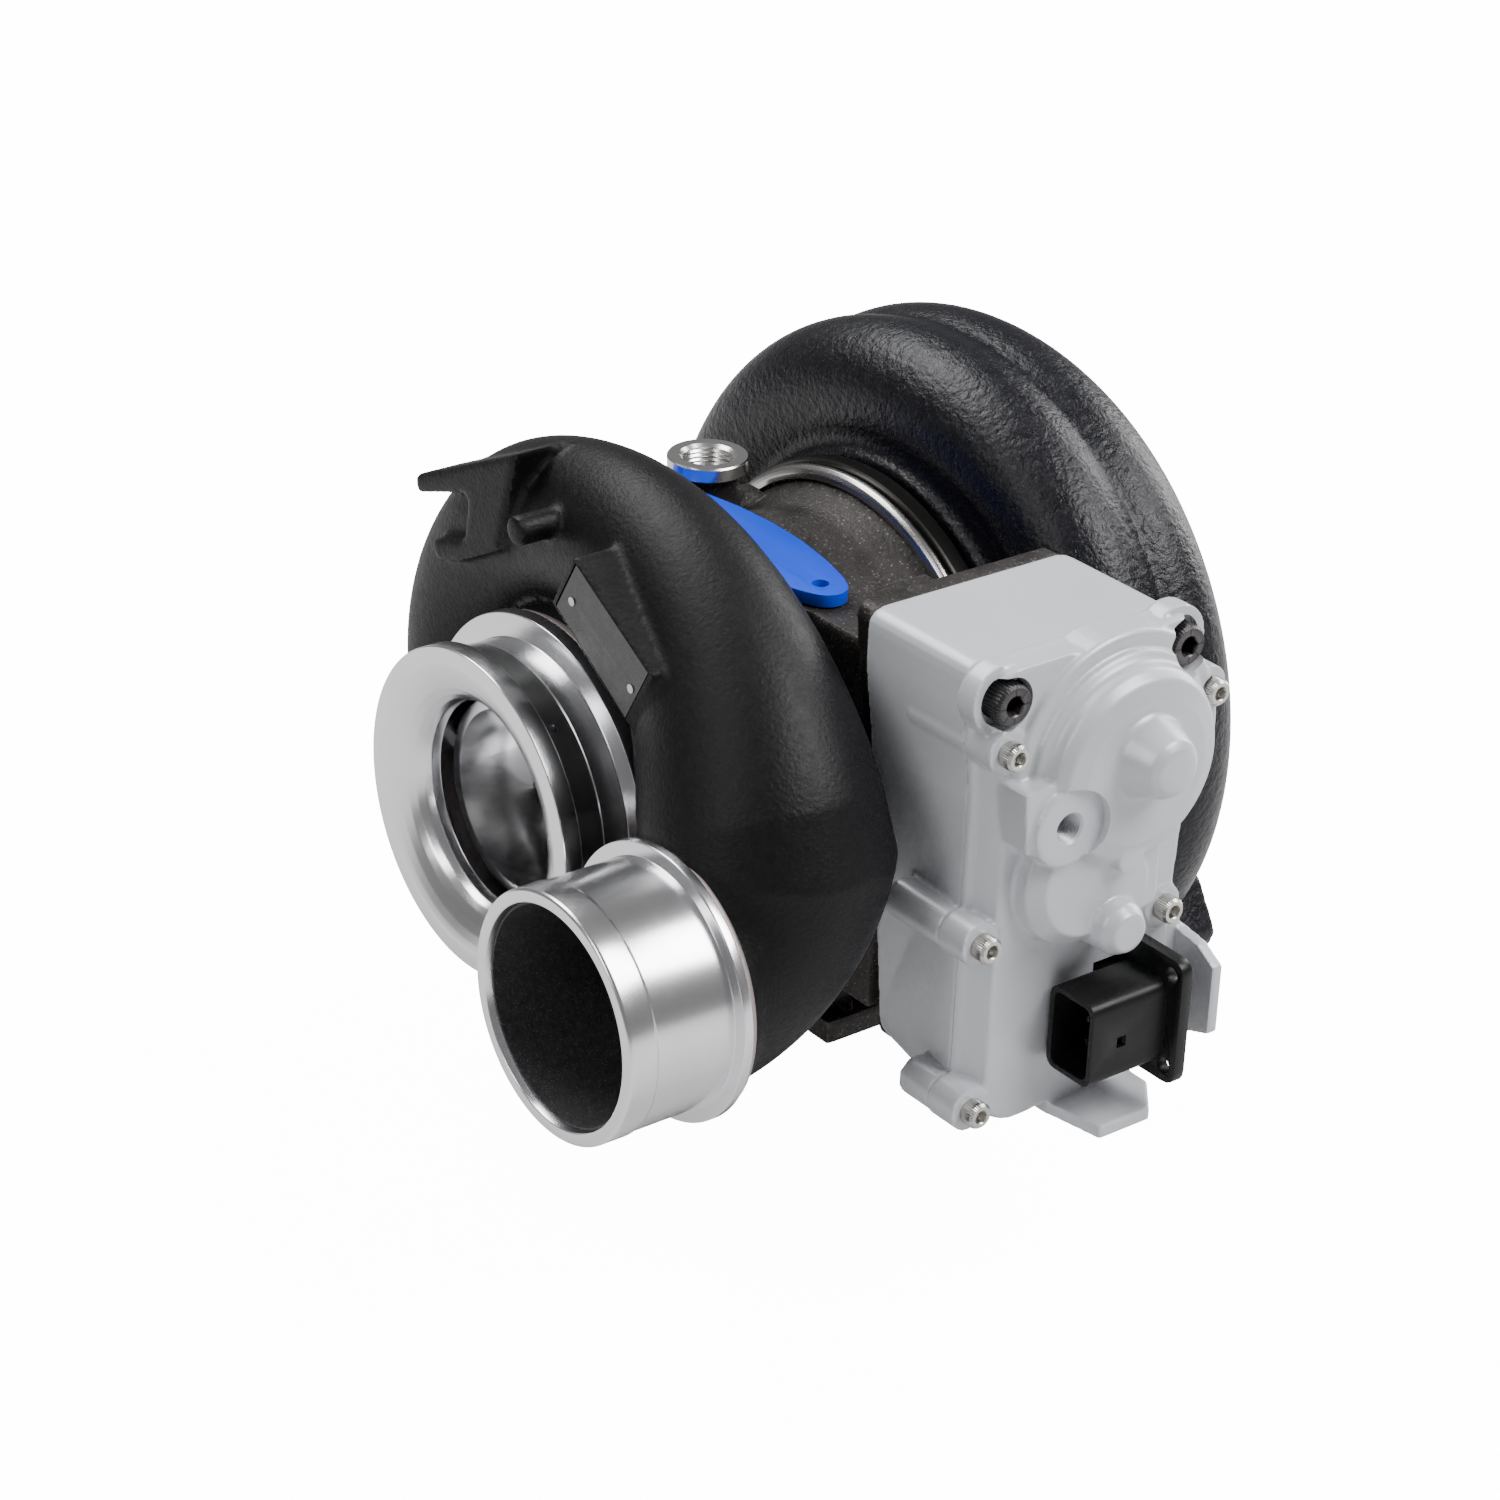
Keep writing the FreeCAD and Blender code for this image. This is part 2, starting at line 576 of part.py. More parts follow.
def bearing_parts():
    length = "journal_bearing_length"
    for label, start in (("front_journal_bearing", "front_bearing_x"),
                         ("rear_journal_bearing", "rear_bearing_x")):
        turned(label, [(start, "shaft_journal_radius + 0.03"), (start, "journal_bearing_radius"),
                       (start + " + " + length, "journal_bearing_radius"),
                       (start + " + " + length, "shaft_journal_radius + 0.03")])
    turned("bearing_spacer", [(102.4, 8.6), (102.4, 11.9), (127.6, 11.9), (127.6, 8.6)])
    turned("thrust_bearing", [(79.7, "shaft_journal_radius + 0.05"), (79.7, 22.9), (84, 22.9),
                              (84, "shaft_journal_radius + 0.05")])
    turned("oil_seal_plate", [("diffuser_back", 11.25), ("diffuser_back", "register_radius - 0.1"),
                              (72.9, "register_radius - 0.1"), (72.9, "register_radius - 2.3"),
                              (75.1, "register_radius - 2.3"), (75.1, "register_radius - 0.1"),
                              ("diffuser_back + 7.9", "register_radius - 0.1"), ("diffuser_back + 7.9", 22),
                              (74.5, 20), (74.5, 11.25)])
    turned("cover_o_ring", [(73, "register_radius - 2.2"), (73, "register_radius - 0.2"),
                            (75, "register_radius - 0.2"), (75, "register_radius - 2.2")])
    ring = turned_shape([("snap_ring_front", 54), ("snap_ring_front", "snap_ring_radius"),
                         ("snap_ring_front + snap_ring_width", "snap_ring_radius"),
                         ("snap_ring_front + snap_ring_width", 54)])
    gap = box((80, -6, -70), (90, 6, -40))
    shaped("cover_snap_ring", ring.cut(gap))
    turned("turbine_seal_ring", [(145.4, 8.5), (145.4, 10.68), (147.2, 10.68), (147.2, 8.5)])
    turned("heat_shield", [("casing_split", 12), ("casing_split", 44.5), (151.2, 44.5), (155, 38),
                           (156.6, 36),
                           (156.6, 12.6), (155.6, 12.6), (155.6, 35), (151.2, 42), (151.2, 12)])
    quarter = [(16, 6), (14, 24), (9.5, 45), (7, 52), (3, 55)]
    half = quarter + [(-x, y) for x, y in quarter[::-1]]
    outline = half + [(-x, -y) for x, y in half]
    place = (size("oil_pad_x"), size("oil_pad_y"), size("oil_pad_top"))
    padded("oil_inlet_plug", outline, "4", place,
           holes=[(0, "-1 * oil_bolt_half", 2.7), (0, "oil_bolt_half", 2.7)])


# --------------------------------------------------------------- sliding nozzle
def vane_outline(angle, grow=0.0):
    """Corners of one vane's section around the shaft, grown all round for its slot."""
    half = 8.5 + grow
    thick = size("vane_thickness") / 2 + grow
    lean = math.radians(62)
    corners = [(-half, 0), (-half * 0.4, thick), (half * 0.5, thick * 0.9), (half, 0),
               (half * 0.5, -thick * 0.9), (-half * 0.4, -thick)]
    middle = Vector(0, 55.5, 0)
    turned_corners = []
    for u, v in corners:
        y = middle.y + u * math.cos(lean) - v * math.sin(lean)
        z = u * math.sin(lean) + v * math.cos(lean)
        spin = math.radians(angle)
        turned_corners.append((y * math.cos(spin) - z * math.sin(spin),
                               y * math.sin(spin) + z * math.cos(spin)))
    return turned_corners


def vanes(start, length, grow=0.0):
    """All vane prisms along the shaft from start, as separate solids."""
    count = int(size("vane_count"))
    return [prism([(start, y, z) for y, z in vane_outline(360 * (index + 0.5) / count, grow)], (length, 0, 0))
            for index in range(count)]


def nozzle_parts():
    face = size("nozzle_face")
    ring = turned_shape([("nozzle_back", "nozzle_outer - 2"), ("nozzle_back", "nozzle_outer"),
                         ("nozzle_face", "nozzle_outer"), ("nozzle_face", "nozzle_inner"),
                         ("nozzle_back", "nozzle_inner"), ("nozzle_back", "nozzle_inner + 2"),
                         ("nozzle_face - 3", "nozzle_inner + 2"), ("nozzle_face - 3", "nozzle_outer - 2")])
    shaped("nozzle_ring", fused(ring, *vanes(face - 1, size("vane_length") + 1)))
    rod_length = face - 3 - 106
    rods = [cylinder(size("rod_radius"), rod_length, (106, side * size("rod_offset"), 0)) for side in (-1, 1)]
    slot = box((109.3, -70, -5), (114.7, 70, 0.01))
    shaped("nozzle_push_rods", Part.makeCompound([one_solid(rod.cut(slot)) for rod in rods]))
    bushes = [cylinder(6.45, 5.6, (121.2, side * size("rod_offset"), 0)).cut(
        cylinder(size("rod_radius") + 0.05, 12, (117, side * size("rod_offset"), 0))) for side in (-1, 1)]
    shaped("push_rod_bushes", Part.makeCompound(bushes))
    plate = turned_shape([("shroud_face", 41), ("shroud_face", 66.6),
                          ("shroud_face + shroud_thickness", 66.6), ("shroud_face + shroud_thickness", 41)])
    shaped("shroud_plate", plate.cut(Part.makeCompound(vanes(size("shroud_face") - 2, 8, 0.95))))


def cross_shaft_parts():
    """Cross shaft under the core, its forked yoke and the bushes in the bearing housing."""
    x = size("cross_x")
    z = size("cross_z")
    shaft = cylinder(size("cross_radius"), 173.5, (x, -108, z), (0, 1, 0))
    shaped("cross_shaft", shaft)
    arms = []
    for side in (-1, 1):
        y = side * size("rod_offset")
        arms.append(prism([(x - 7.5, y - 3, z), (x + 7.5, y - 3, z), (x + 3.5, y - 3, -6),
                           (x - 3.5, y - 3, -6)],
                          (0, 6, 0)))
        arms.append(cylinder(8.4, 10, (x, y - 5, z), (0, 1, 0)))
        arms.append(cylinder(2.35, 6, (x, y - 3, -2.8), (0, 1, 0)))
        arms.append(box((x - 2.1, y - 3, -8), (x + 2.1, y + 3, -2.8)))
    bore = cylinder(size("cross_radius"), 140, (x, -70, z), (0, 1, 0))
    bridge = box((x - 6, -52, z - 9.4), (x + 6, 52, z - 6.2))
    shaped("nozzle_yoke", one_solid(fused(bridge, *arms).cut(bore)))
    for label, start, length in (("near_shaft_bush", -92, 28), ("far_shaft_bush", 62.2, 3.6)):
        sleeve = cylinder(8.95, length, (x, start, z), (0, 1, 0))
        bore = cylinder(size("cross_radius") + 0.05, length + 2, (x, start - 1, z), (0, 1, 0))
        shaped(label, sleeve.cut(bore))


# -------------------------------------------------------------- turbine housing
def turbine_keys(lobe_x, spread):
    """Key sections of one turbine scroll; it shrinks clockwise from the inlet side."""
    rows = [(186, 98, 25), (135, 98.5, 23.5), (90, 97.5, 22), (45, 98.5, 21), (0, 97, 20), (-45, 94, 18),
            (-75, 91, 16)]
    return [(angle, lobe_x + spread * (25 - radius), reach, radius, 1.0) for angle, reach, radius in rows]


def runner(lobe_x, port_x, radius, thinner):
    """Gas runner from a scroll's start down to its port in the inlet flange."""
    top = ring_at(Vector(lobe_x, 98, 6), 25 - thinner, Vector(1, 0, 0), Vector(0, 0, 1))
    middle = ring_at(Vector((lobe_x + port_x) / 2, 95, -50), 23 - thinner, Vector(1, 0, 0), Vector(0, 0, 1))
    port_y = size("turbine_flange_y")
    port_z = size("turbine_flange_face") + 6 - 8 * thinner / 5
    low = ring_at(Vector(port_x, port_y, -100), radius - thinner, Vector(1, 0, 0), Vector(0, 0, 1))
    end = ring_at(Vector(port_x, port_y, port_z), radius - thinner, Vector(1, 0, 0), Vector(0, 0, 1))
    return Part.makeLoft([top, middle, low, end], True, False)


def turbine_housing():
    wall = size("turbine_wall")
    lobes = ((size("front_lobe_x"), 0.35, -19), (size("rear_lobe_x"), -0.15, 19))
    x = size("turbine_flange_x")
    y = size("turbine_flange_y")
    face = size("turbine_flange_face")
    scrolls = []
    passages = []
    for lobe_x, spread, offset in lobes:
        keys = stations_from(turbine_keys(lobe_x, spread), 22)
        scrolls.append(Part.makeLoft(spiral_rings(keys), True, False))
        passages.append(Part.makeLoft(spiral_rings(keys, wall), True, False))
        scrolls.append(runner(lobe_x, x + offset, 21, 0))
        passages.append(runner(lobe_x, x + offset, 21, wall))
    centre = turned_shape([
        ("casing_split", 67), ("casing_split", "clamp_flange_radius"), (154.7, "clamp_flange_radius"),
        (154.7, 71),
        (158, 71), (158, "turbine_collar_radius"), (161, "turbine_collar_radius"), (161, 94),
        (205, 92), (212, 70),
        (218, 52), ("exhaust_end - 9", 48), ("exhaust_end - 6", "exhaust_flange_radius"),
        ("exhaust_end", "exhaust_flange_radius"), ("exhaust_end", "exhaust_bore"),
        (206, "turbine_exit_radius + 1"),
        (191, "turbine_exit_radius + 0.6"), (176, 38.4), (171, 40.7), (171, 67)])
    half_x = size("turbine_bolt_x") / 2
    half_y = size("turbine_bolt_y") / 2
    flange = box((x - half_x - 11, y - half_y - 11, face), (x + half_x + 11, y + half_y + 11,
                 face + size("turbine_flange_thickness")))
    flange = rounded(flange, 10, lambda edge: abs(edge.tangentAt(0).z) > 0.99)
    lug = prism([(212, -76, -46), (212, -86, -54), (212, -95, -69), (212, -94, -75), (212, -80, -81),
                 (212, -62, -72)], (21, 0, 0))
    shell = joined(centre, *scrolls, flange, lug)
    mouth = turned_shape([(164.6, 66.9), (164.6, 86), (175, 86), (175, 66.9)])
    pocket = turned_shape([(170.9, 41), (170.9, 66.7), ("shroud_face + shroud_thickness", 66.7),
                           ("shroud_face + shroud_thickness", 65), (188, 65), (188, 45),
                           ("shroud_face + shroud_thickness", 45), ("shroud_face + shroud_thickness", 41)])
    for tool in passages + [mouth, pocket]:
        shell = shell.cut(tool)
    holes = [cylinder(size("turbine_bolt_radius"), 20, (x + a * half_x, y + b * half_y, face - 2),
                      (0, 0, 1))
             for a in (-1, 1) for b in (-1, 1)]
    holes.append(cylinder(4.2, 14, (221, -81, -71), (1, 0, 0)))
    shell = shell.cut(Part.makeCompound(holes))
    return shaped("turbine_housing", one_solid(shell))


def v_band():
    """Clamp ring over the two casing flanges, split at the bottom, with its T-bolt and nut."""
    ring = turned_shape([
        ("band_front", 71.6), ("band_front", 75), (146.5, 77), (149.6, 77), (149.6, "band_radius"),
        ("band_back", "band_radius"), ("band_back", 71.6), (154.8, 73.4), (145.2, 73.4)])
    split = box((140, -6, -90), (160, 6, -60))
    ears = [box((146, side * 8 - 3, -96), (154, side * 8 + 3, -76)) for side in (-1, 1)]
    hole = cylinder(3.3, 60, (150, -30, -89), (0, 1, 0))
    shaped("v_band_clamp", one_solid(ring.cut(split).fuse(ears[0]).fuse(ears[1]).cut(hole)))
    bolt = fused(cylinder(3.25, 34, (150, -14, -89), (0, 1, 0)), cylinder(5, 4, (150, -15, -89), (0, 1, 0)))
    shaped("v_band_bolt", bolt)
    nut = hexagon(5.8, 150, 11.3, -89, 6)
    shaped("v_band_nut", nut.cut(cylinder(3.25, 20, (150, 5, -89), (0, 1, 0))))


# --------------------------------------------------------------------- actuator
BOLT_SEAT_Y = -143
SCREWS = ((85, 60), (163, 60), (79.5, -1), (152, -10), (79.5, -57), (152, -55))


def gear(module_size, teeth, width, bore, first_angle, axis_x, axis_z, front_y, half_span=180.0, rest=0.0):
    """Involute spur gear about a line along Y.

    first_angle points a tooth, in degrees from +X to +Z. Teeth further than half_span degrees
    from it are left out, and the blank has the rest radius there.
    """
    pitch = module_size * teeth / 2
    base = pitch * math.cos(math.radians(20))
    tip = pitch + module_size * 0.92
    root = pitch - module_size * 1.25
    half_tooth = math.pi / (2 * teeth) - 0.035 * module_size / pitch
    inv_pitch = math.tan(math.radians(20)) - math.radians(20)
    corners = []
    for tooth in range(teeth):
        centre = math.radians(first_angle) + 2 * math.pi * tooth / teeth
        offset = (math.degrees(centre) - first_angle + 180) % 360 - 180
        if abs(offset) > half_span:
            corners.append((rest, centre - math.pi / teeth))
            corners.append((rest, centre))
            continue
        flank = []
        for step in range(5):
            radius = max(base, root) + (tip - max(base, root)) * step / 4
            pressure = math.acos(min(1.0, base / radius))
            flank.append((radius, half_tooth + inv_pitch - math.tan(pressure) + pressure))
        corners.append((root, centre - math.pi / teeth))
        corners.append((root, centre - flank[0][1]))
        corners.extend((radius, centre - turn) for radius, turn in flank)
        corners.extend((radius, centre + turn) for radius, turn in flank[::-1])
        corners.append((root, centre + flank[0][1]))
    points = [(axis_x + radius * math.cos(turn), front_y, axis_z + radius * math.sin(turn))
              for radius, turn in corners]
    blank = prism(points, (0, width, 0))
    return blank.cut(cylinder(bore, width + 2, (axis_x, front_y - 1, axis_z), (0, 1, 0)))


def gear_parts():
    cross = (size("cross_x"), size("cross_z"))
    output = (size("output_x"), size("output_z"))
    idle = (size("gear_idle_x"), size("gear_idle_z"))
    motor = (size("motor_x"), size("motor_z"))
    to_idle = math.degrees(math.atan2(idle[1] - output[1], idle[0] - output[0]))
    to_motor = math.degrees(math.atan2(motor[1] - idle[1], motor[0] - idle[0]))
    sector = gear(1, 56, 7, size("cross_radius"), 90, *cross, -107, 20, 12)
    shaped("sector_gear", one_solid(sector))
    pinion = gear(1, 24, 7.5, 4.0, 270 + 7.5, *output, -107.2)
    wheel = gear(1, 40, 5, 4.0, to_idle, *output, -113.2)
    hub = cylinder(8, 2, (output[0], -108.8, output[1]), (0, 1, 0)).cut(
        cylinder(4.0, 4, (output[0], -109.5, output[1]), (0, 1, 0)))
    shaped("output_gear", fused(pinion, hub, wheel))
    pinion = gear(1, 12, 6.5, 2.5, to_idle + 180 + 15, *idle, -114)
    wheel = gear(0.8, 40, 4, 2.5, to_motor, *idle, -118.4)
    hub = cylinder(4.5, 1.0, (idle[0], -114.7, idle[1]), (0, 1, 0)).cut(
        cylinder(2.5, 4, (idle[0], -116, idle[1]), (0, 1, 0)))
    shaped("intermediate_gear", fused(pinion, hub, wheel))
    shaped("motor_pinion", gear(0.8, 14, 5, 2.0, to_motor + 180 + 360 / 28, *motor, -118.9))
    turned("output_axle", [(94.2, 0), (94.2, 3.95), (119, 3.95),
                           (119, 0)], (output[0], 0, output[1]), ALONG_MINUS_Y)
    turned("intermediate_axle", [(94.2, 0), (94.2, 2.45), (120.5, 2.45), (120.5, 0)], (idle[0], 0, idle[1]),
           ALONG_MINUS_Y)
    turned("motor_rotor", [(113.5, 0), (113.5, 2.0), (124, 2.0), (124, 13), (152, 13), (152, 2.0),
                           (159, 2.0),
                           (159, 0)], (motor[0], 0, motor[1]), ALONG_MINUS_Y)
    turned("motor_stator", [(123, 13.6), (123, "motor_radius"), (155, "motor_radius"), (155, 13.6)],
           (motor[0], 0, motor[1]), ALONG_MINUS_Y)
    ends = [cylinder(size("motor_radius"), 1.6, (motor[0], y, motor[1]), (0, 1, 0)).cut(
        cylinder(bore, 4, (motor[0], y - 1, motor[1]), (0, 1, 0))) for y, bore in ((-122.9, 2.05),
                                                                                   (-156.8, 2.05))]
    shaped("motor_end_plates", Part.makeCompound(ends))


def actuator_outline(y, margin=0.0):
    """Side outline of the actuator: the left edge leans in towards the bearing housing."""
    lean = between(y, -147, -95, 0, 20)
    left = size("actuator_left")
    right = size("actuator_right")
    top = size("actuator_top")
    low = size("actuator_bottom")
    return [(left + 1 + margin, top - margin), (right - 4 - margin, top - margin), (right - margin, 52),
            (right - 4 - margin, -4), (right - 8 - margin, low + 4 + margin),
            (left + lean + 14 + margin, low + margin), (left + lean + margin, low + 10 + margin)]


def actuator_shell(back, front, margin):
    """Loft between the side outlines at two depths."""
    wires = []
    for y in (back, front):
        corners = [Vector(x, y, z) for x, z in actuator_outline(y, margin)]
        wires.append(Part.makePolygon(corners + corners[:1]))
    return Part.makeLoft(wires, True, True)


def actuator_housing():
    back = size("actuator_back_y")
    split = size("actuator_split_y")
    wall = size("actuator_wall")
    shell = actuator_shell(back, split, 0)
    shell = rounded(shell, 6, lambda edge: abs(edge.tangentAt(0).y) > 0.6)
    room = actuator_shell(back - wall, split - 1, wall)
    columns = [cylinder(7.5, back - split - 0.02, (x, split + 0.01, z),
                        (0, 1, 0)) for x, z in ACTUATOR_BOLTS]
    posts = [cylinder(6.6, 25 if (x, z) == SCREWS[2] else 14, (x, split, z), (0, 1, 0)) for x, z in SCREWS]
    shell = joined(shell.cut(room), *columns, *posts)
    holes = [cylinder(4.25, 60, (x, split - 2, z), (0, 1, 0)) for x, z in ACTUATOR_BOLTS]
    holes += [cylinder(2.2, 14, (x, split - 1, z), (0, 1, 0)) for x, z in SCREWS]
    holes.append(cylinder(9.2, 10, (size("cross_x"), back - 6, size("cross_z")), (0, 1, 0)))
    holes.append(cylinder(3.95, 6, (size("output_x"), back - 6.1, size("output_z")), (0, 1, 0)))
    holes.append(cylinder(2.45, 6, (size("gear_idle_x"), back - 6.1, size("gear_idle_z")), (0, 1, 0)))
    return shaped("actuator_housing", one_solid(shell.cut(Part.makeCompound(holes))))


def actuator_cover():
    """Cover with the motor dome, the coolant port boss, taper bosses and the two guard wings."""
    split = size("actuator_split_y")
    front = size("actuator_front_y")
    wall = size("actuator_wall")
    x = size("motor_x")
    z = size("motor_z")
    plate = actuator_shell(split - 0.01, front, 0)
    plate = rounded(plate, 6, lambda edge: abs(edge.tangentAt(0).y) > 0.6)
    plate = rounded(plate, 2.5, lambda edge: abs(edge.CenterOfMass.y - front) < 0.1)
    dome = turned_shape([(140, 0), (140, "motor_dome_radius + 3"), (150, "motor_dome_radius + 3"),
                         (154, "motor_dome_radius"), (160, 29), (164, 22), (165, 15),
                         (165, 0)], (x, 0, z), "-y")
    tip = turned_shape([(155, 0), (155, 11), (172, 8.5), (176, 6.5), (178, 4),
                        (178, 0)], (126, 0, 54), "-y")
    port = turned_shape([(146, 0), (146, "port_radius + 1"), (162, "port_radius"), (162, 0)],
                        (size("port_x"), 0, size("port_z")), "-y")
    lower = turned_shape([(146, 0), (146, 23), (155, 22), (159, 18), (159, 0)], (114, 0, 14), "-y")
    peg = turned_shape([(146, 0), (146, 9.5), (164, 8), (167, 6), (167, 0)], (123, 0, -3), "-y")
    bump = turned_shape([(150, 0), (150, 5), (163, 4.5), (163, 0)], (124, 0, 20), "-y")
    pads = [cylinder(7, 12, (a, front - 1, b), (0, 1, 0)) for a, b in SCREWS]
    lower_wing = prism([(112, -146, -71), (116, -168, -71), (136, -168, -71), (146, -156, -71),
                        (146, -140, -71)],
                       (0, 0, 5))
    side_wing = prism([(160, -139, -19), (160, -158, -22), (160, -166, -27), (160, -166, -50),
                       (160, -142, -58)],
                      (4, 0, 0))
    web = box((150, -148, -56), (162, -139, -16))
    low_web = box((112, -148, -71), (146, -139, -60))
    shell = joined(plate, dome, tip, port, lower, peg, bump, *pads, lower_wing, side_wing, web, low_web)
    room = turned_shape([(130, 0), (130, "motor_radius + 0.4"), (160, "motor_radius + 0.4"), (160, 0)],
                        (x, 0, z), "-y")
    hollow = actuator_shell(split + 1, front + wall, wall + 3)
    holes = [cylinder(2.75, 40, (a, front - 12, b), (0, 1, 0)) for a, b in SCREWS]
    holes += [cylinder(4.6, 9, (a, front - 10.1, b), (0, 1, 0)) for a, b in SCREWS]
    holes += [cylinder(4.25, 30, (a, front - 1, b), (0, 1, 0)) for a, b in ACTUATOR_BOLTS]
    holes += [cylinder(8.2, 24, (a, BOLT_SEAT_Y - 24, b), (0, 1, 0)) for a, b in ACTUATOR_BOLTS]
    port_start = (size("port_x"), -163, size("port_z"))
    holes.append(cylinder(size("port_hole_radius"), 18, port_start, (0, 1, 0)))
    keepers = [cylinder(7.5, 14, (a, front + 0.5, b), (0, 1, 0)) for a, b in SCREWS + ACTUATOR_BOLTS]
    hollow = hollow.cut(Part.makeCompound(keepers))
    shell = shell.cut(hollow).cut(room)
    window = box((126, -150, -50), (146, -144, -22))
    return shaped("actuator_cover", one_solid(shell.cut(Part.makeCompound(holes)).cut(window)))


def fasteners():
    front = size("actuator_front_y")
    bolts = []
    for x, z in ACTUATOR_BOLTS:
        head = cylinder(size("bolt_head_radius"), 8, (x, BOLT_SEAT_Y - 8, z), (0, 1, 0))
        shank = cylinder(3.95, 57, (x, BOLT_SEAT_Y - 0.5, z), (0, 1, 0))
        bolts.append(head.fuse(shank).cut(hexagon(3.4, x, BOLT_SEAT_Y - 8.1, z, 4)))
    shaped("actuator_bolts", Part.makeCompound(bolts))
    screws = []
    for x, z in SCREWS:
        head = cylinder(size("screw_head_radius"), 5, (x, front - 6.1, z), (0, 1, 0))
        shank = cylinder(2.15, 22, (x, front - 1.2, z), (0, 1, 0))
        screws.append(head.fuse(shank).cut(hexagon(2.3, x, front - 6.2, z, 2.6)))
    shaped("cover_screws", Part.makeCompound(screws))


def electronics():
    padded("control_board", [(0, 0), (46, 0), (46, 42), (0, 42)], "1.6", (92, -124, -54), FACING_MINUS_Y)
    shell = box((108, -170, -50), (140, -150.5, -22))
    shell = rounded(shell, 4, lambda edge: abs(edge.tangentAt(0).x) > 0.9)
    mouth = box((107, -168, -48), (130, -152.5, -24))
    flange = box((137, -176, -56), (141, -149.6, -14))
    flange = rounded(flange, 5, lambda edge: abs(edge.tangentAt(0).x) > 0.9)
    neck = box((128, -151, -48), (140, -130, -24))
    holes = [cylinder(2.7, 12, (134, -170, z)) for z in (-20, -50)]
    shaped("connector", one_solid(fused(shell.cut(mouth), flange, neck).cut(Part.makeCompound(holes))))
    pins = [box((118, y, z), (130, y + 0.8, z + 2)) for y in (-163.4, -157.4) for z in (-44, -36, -28)]
    shaped("connector_pins", Part.makeCompound(pins))


PIECES = (compressor_housing, recirculation_ring, name_plate, rotor_parts, bearing_housing, bearing_parts,
          nozzle_parts, cross_shaft_parts, turbine_housing, v_band, gear_parts, actuator_housing, actuator_cover,
          fasteners, electronics)
for piece in PIECES:
    piece()

doc.recompute()
for item in doc.Objects:
    if "Invalid" in item.State or "Error" in item.State:
        raise RuntimeError(f"{item.Label} did not recompute: {item.State}")
for item in sub_parts:
    if item.Shape.isNull() or not item.Shape.isValid():
        raise RuntimeError(f"{item.Label} has no valid shape")
for item in sub_parts:
    item.Shape.exportStep(f"parts/{item.Label}.step")
    print(item.Label, round(item.Shape.Volume / 1000, 1), len(item.Shape.Solids))
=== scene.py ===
import json
import logging
import math
from dataclasses import dataclass
from enum import Enum
from typing import Sequence

import bmesh
import bpy
import numpy as np
from mathutils import Matrix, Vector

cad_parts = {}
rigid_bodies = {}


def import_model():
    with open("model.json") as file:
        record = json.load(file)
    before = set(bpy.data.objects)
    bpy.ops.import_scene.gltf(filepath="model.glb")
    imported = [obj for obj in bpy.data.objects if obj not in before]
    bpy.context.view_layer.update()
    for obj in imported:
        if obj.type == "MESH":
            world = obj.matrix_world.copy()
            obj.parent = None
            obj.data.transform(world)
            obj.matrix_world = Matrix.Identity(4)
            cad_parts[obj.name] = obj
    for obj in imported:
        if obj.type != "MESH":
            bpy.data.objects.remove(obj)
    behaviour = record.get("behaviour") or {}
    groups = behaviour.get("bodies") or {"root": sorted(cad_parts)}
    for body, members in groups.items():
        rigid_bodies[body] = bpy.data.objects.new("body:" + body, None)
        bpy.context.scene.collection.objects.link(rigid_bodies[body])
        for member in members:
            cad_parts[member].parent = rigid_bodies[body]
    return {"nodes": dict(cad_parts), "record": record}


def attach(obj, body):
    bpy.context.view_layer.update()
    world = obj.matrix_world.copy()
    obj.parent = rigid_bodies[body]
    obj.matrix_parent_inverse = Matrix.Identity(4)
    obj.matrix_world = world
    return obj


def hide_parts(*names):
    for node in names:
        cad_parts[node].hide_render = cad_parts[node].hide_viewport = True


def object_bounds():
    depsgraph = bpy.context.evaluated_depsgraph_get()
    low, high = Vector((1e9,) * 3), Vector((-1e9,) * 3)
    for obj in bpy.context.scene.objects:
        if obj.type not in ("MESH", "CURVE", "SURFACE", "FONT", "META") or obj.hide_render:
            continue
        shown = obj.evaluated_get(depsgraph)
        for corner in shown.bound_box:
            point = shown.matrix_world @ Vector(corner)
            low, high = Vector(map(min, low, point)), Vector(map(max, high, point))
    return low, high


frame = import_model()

CAD_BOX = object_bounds()
MM = 0.001
LOG = logging.getLogger("turbocharger")
Point = tuple[float, float, float]
Flat = Sequence[tuple[float, float]]


# ------------------------------------------------------------------ surfaces
@dataclass
class Shell:
    """A closed surface: points in millimetres and faces as lists of point numbers."""

    points: np.ndarray
    faces: list


class Axis(Enum):
    """Line that a turned shape goes round, as rows of along, across and upright directions."""

    X = ((1, 0, 0), (0, 1, 0), (0, 0, 1))
    Z = ((0, 0, 1), (1, 0, 0), (0, 1, 0))
    MINUS_Y = ((0, -1, 0), (1, 0, 0), (0, 0, 1))


def grid_shell(rows: np.ndarray, caps: bool) -> Shell:
    """Surface over a grid of points: row i is a closed ring, and ring i joins ring i + 1.

    Args:
        rows: points as an array of rings x points x 3.
        caps: close the first and the last ring with a flat face.

    Returns:
        The shell, its quads numbered ring by ring.
    """
    rings, around = rows.shape[:2]
    ring, step = np.meshgrid(np.arange(rings - 1), np.arange(around), indexing="ij")
    after = (step + 1) % around
    quads = np.stack([ring * around + step, ring * around + after,
                      (ring + 1) * around + after, (ring + 1) * around + step], axis=-1)
    faces = quads.reshape(-1, 4).tolist()
    if caps:
        faces += [list(range(around))[::-1], list(range((rings - 1) * around, rings * around))]
    return Shell(rows.reshape(-1, 3), faces)


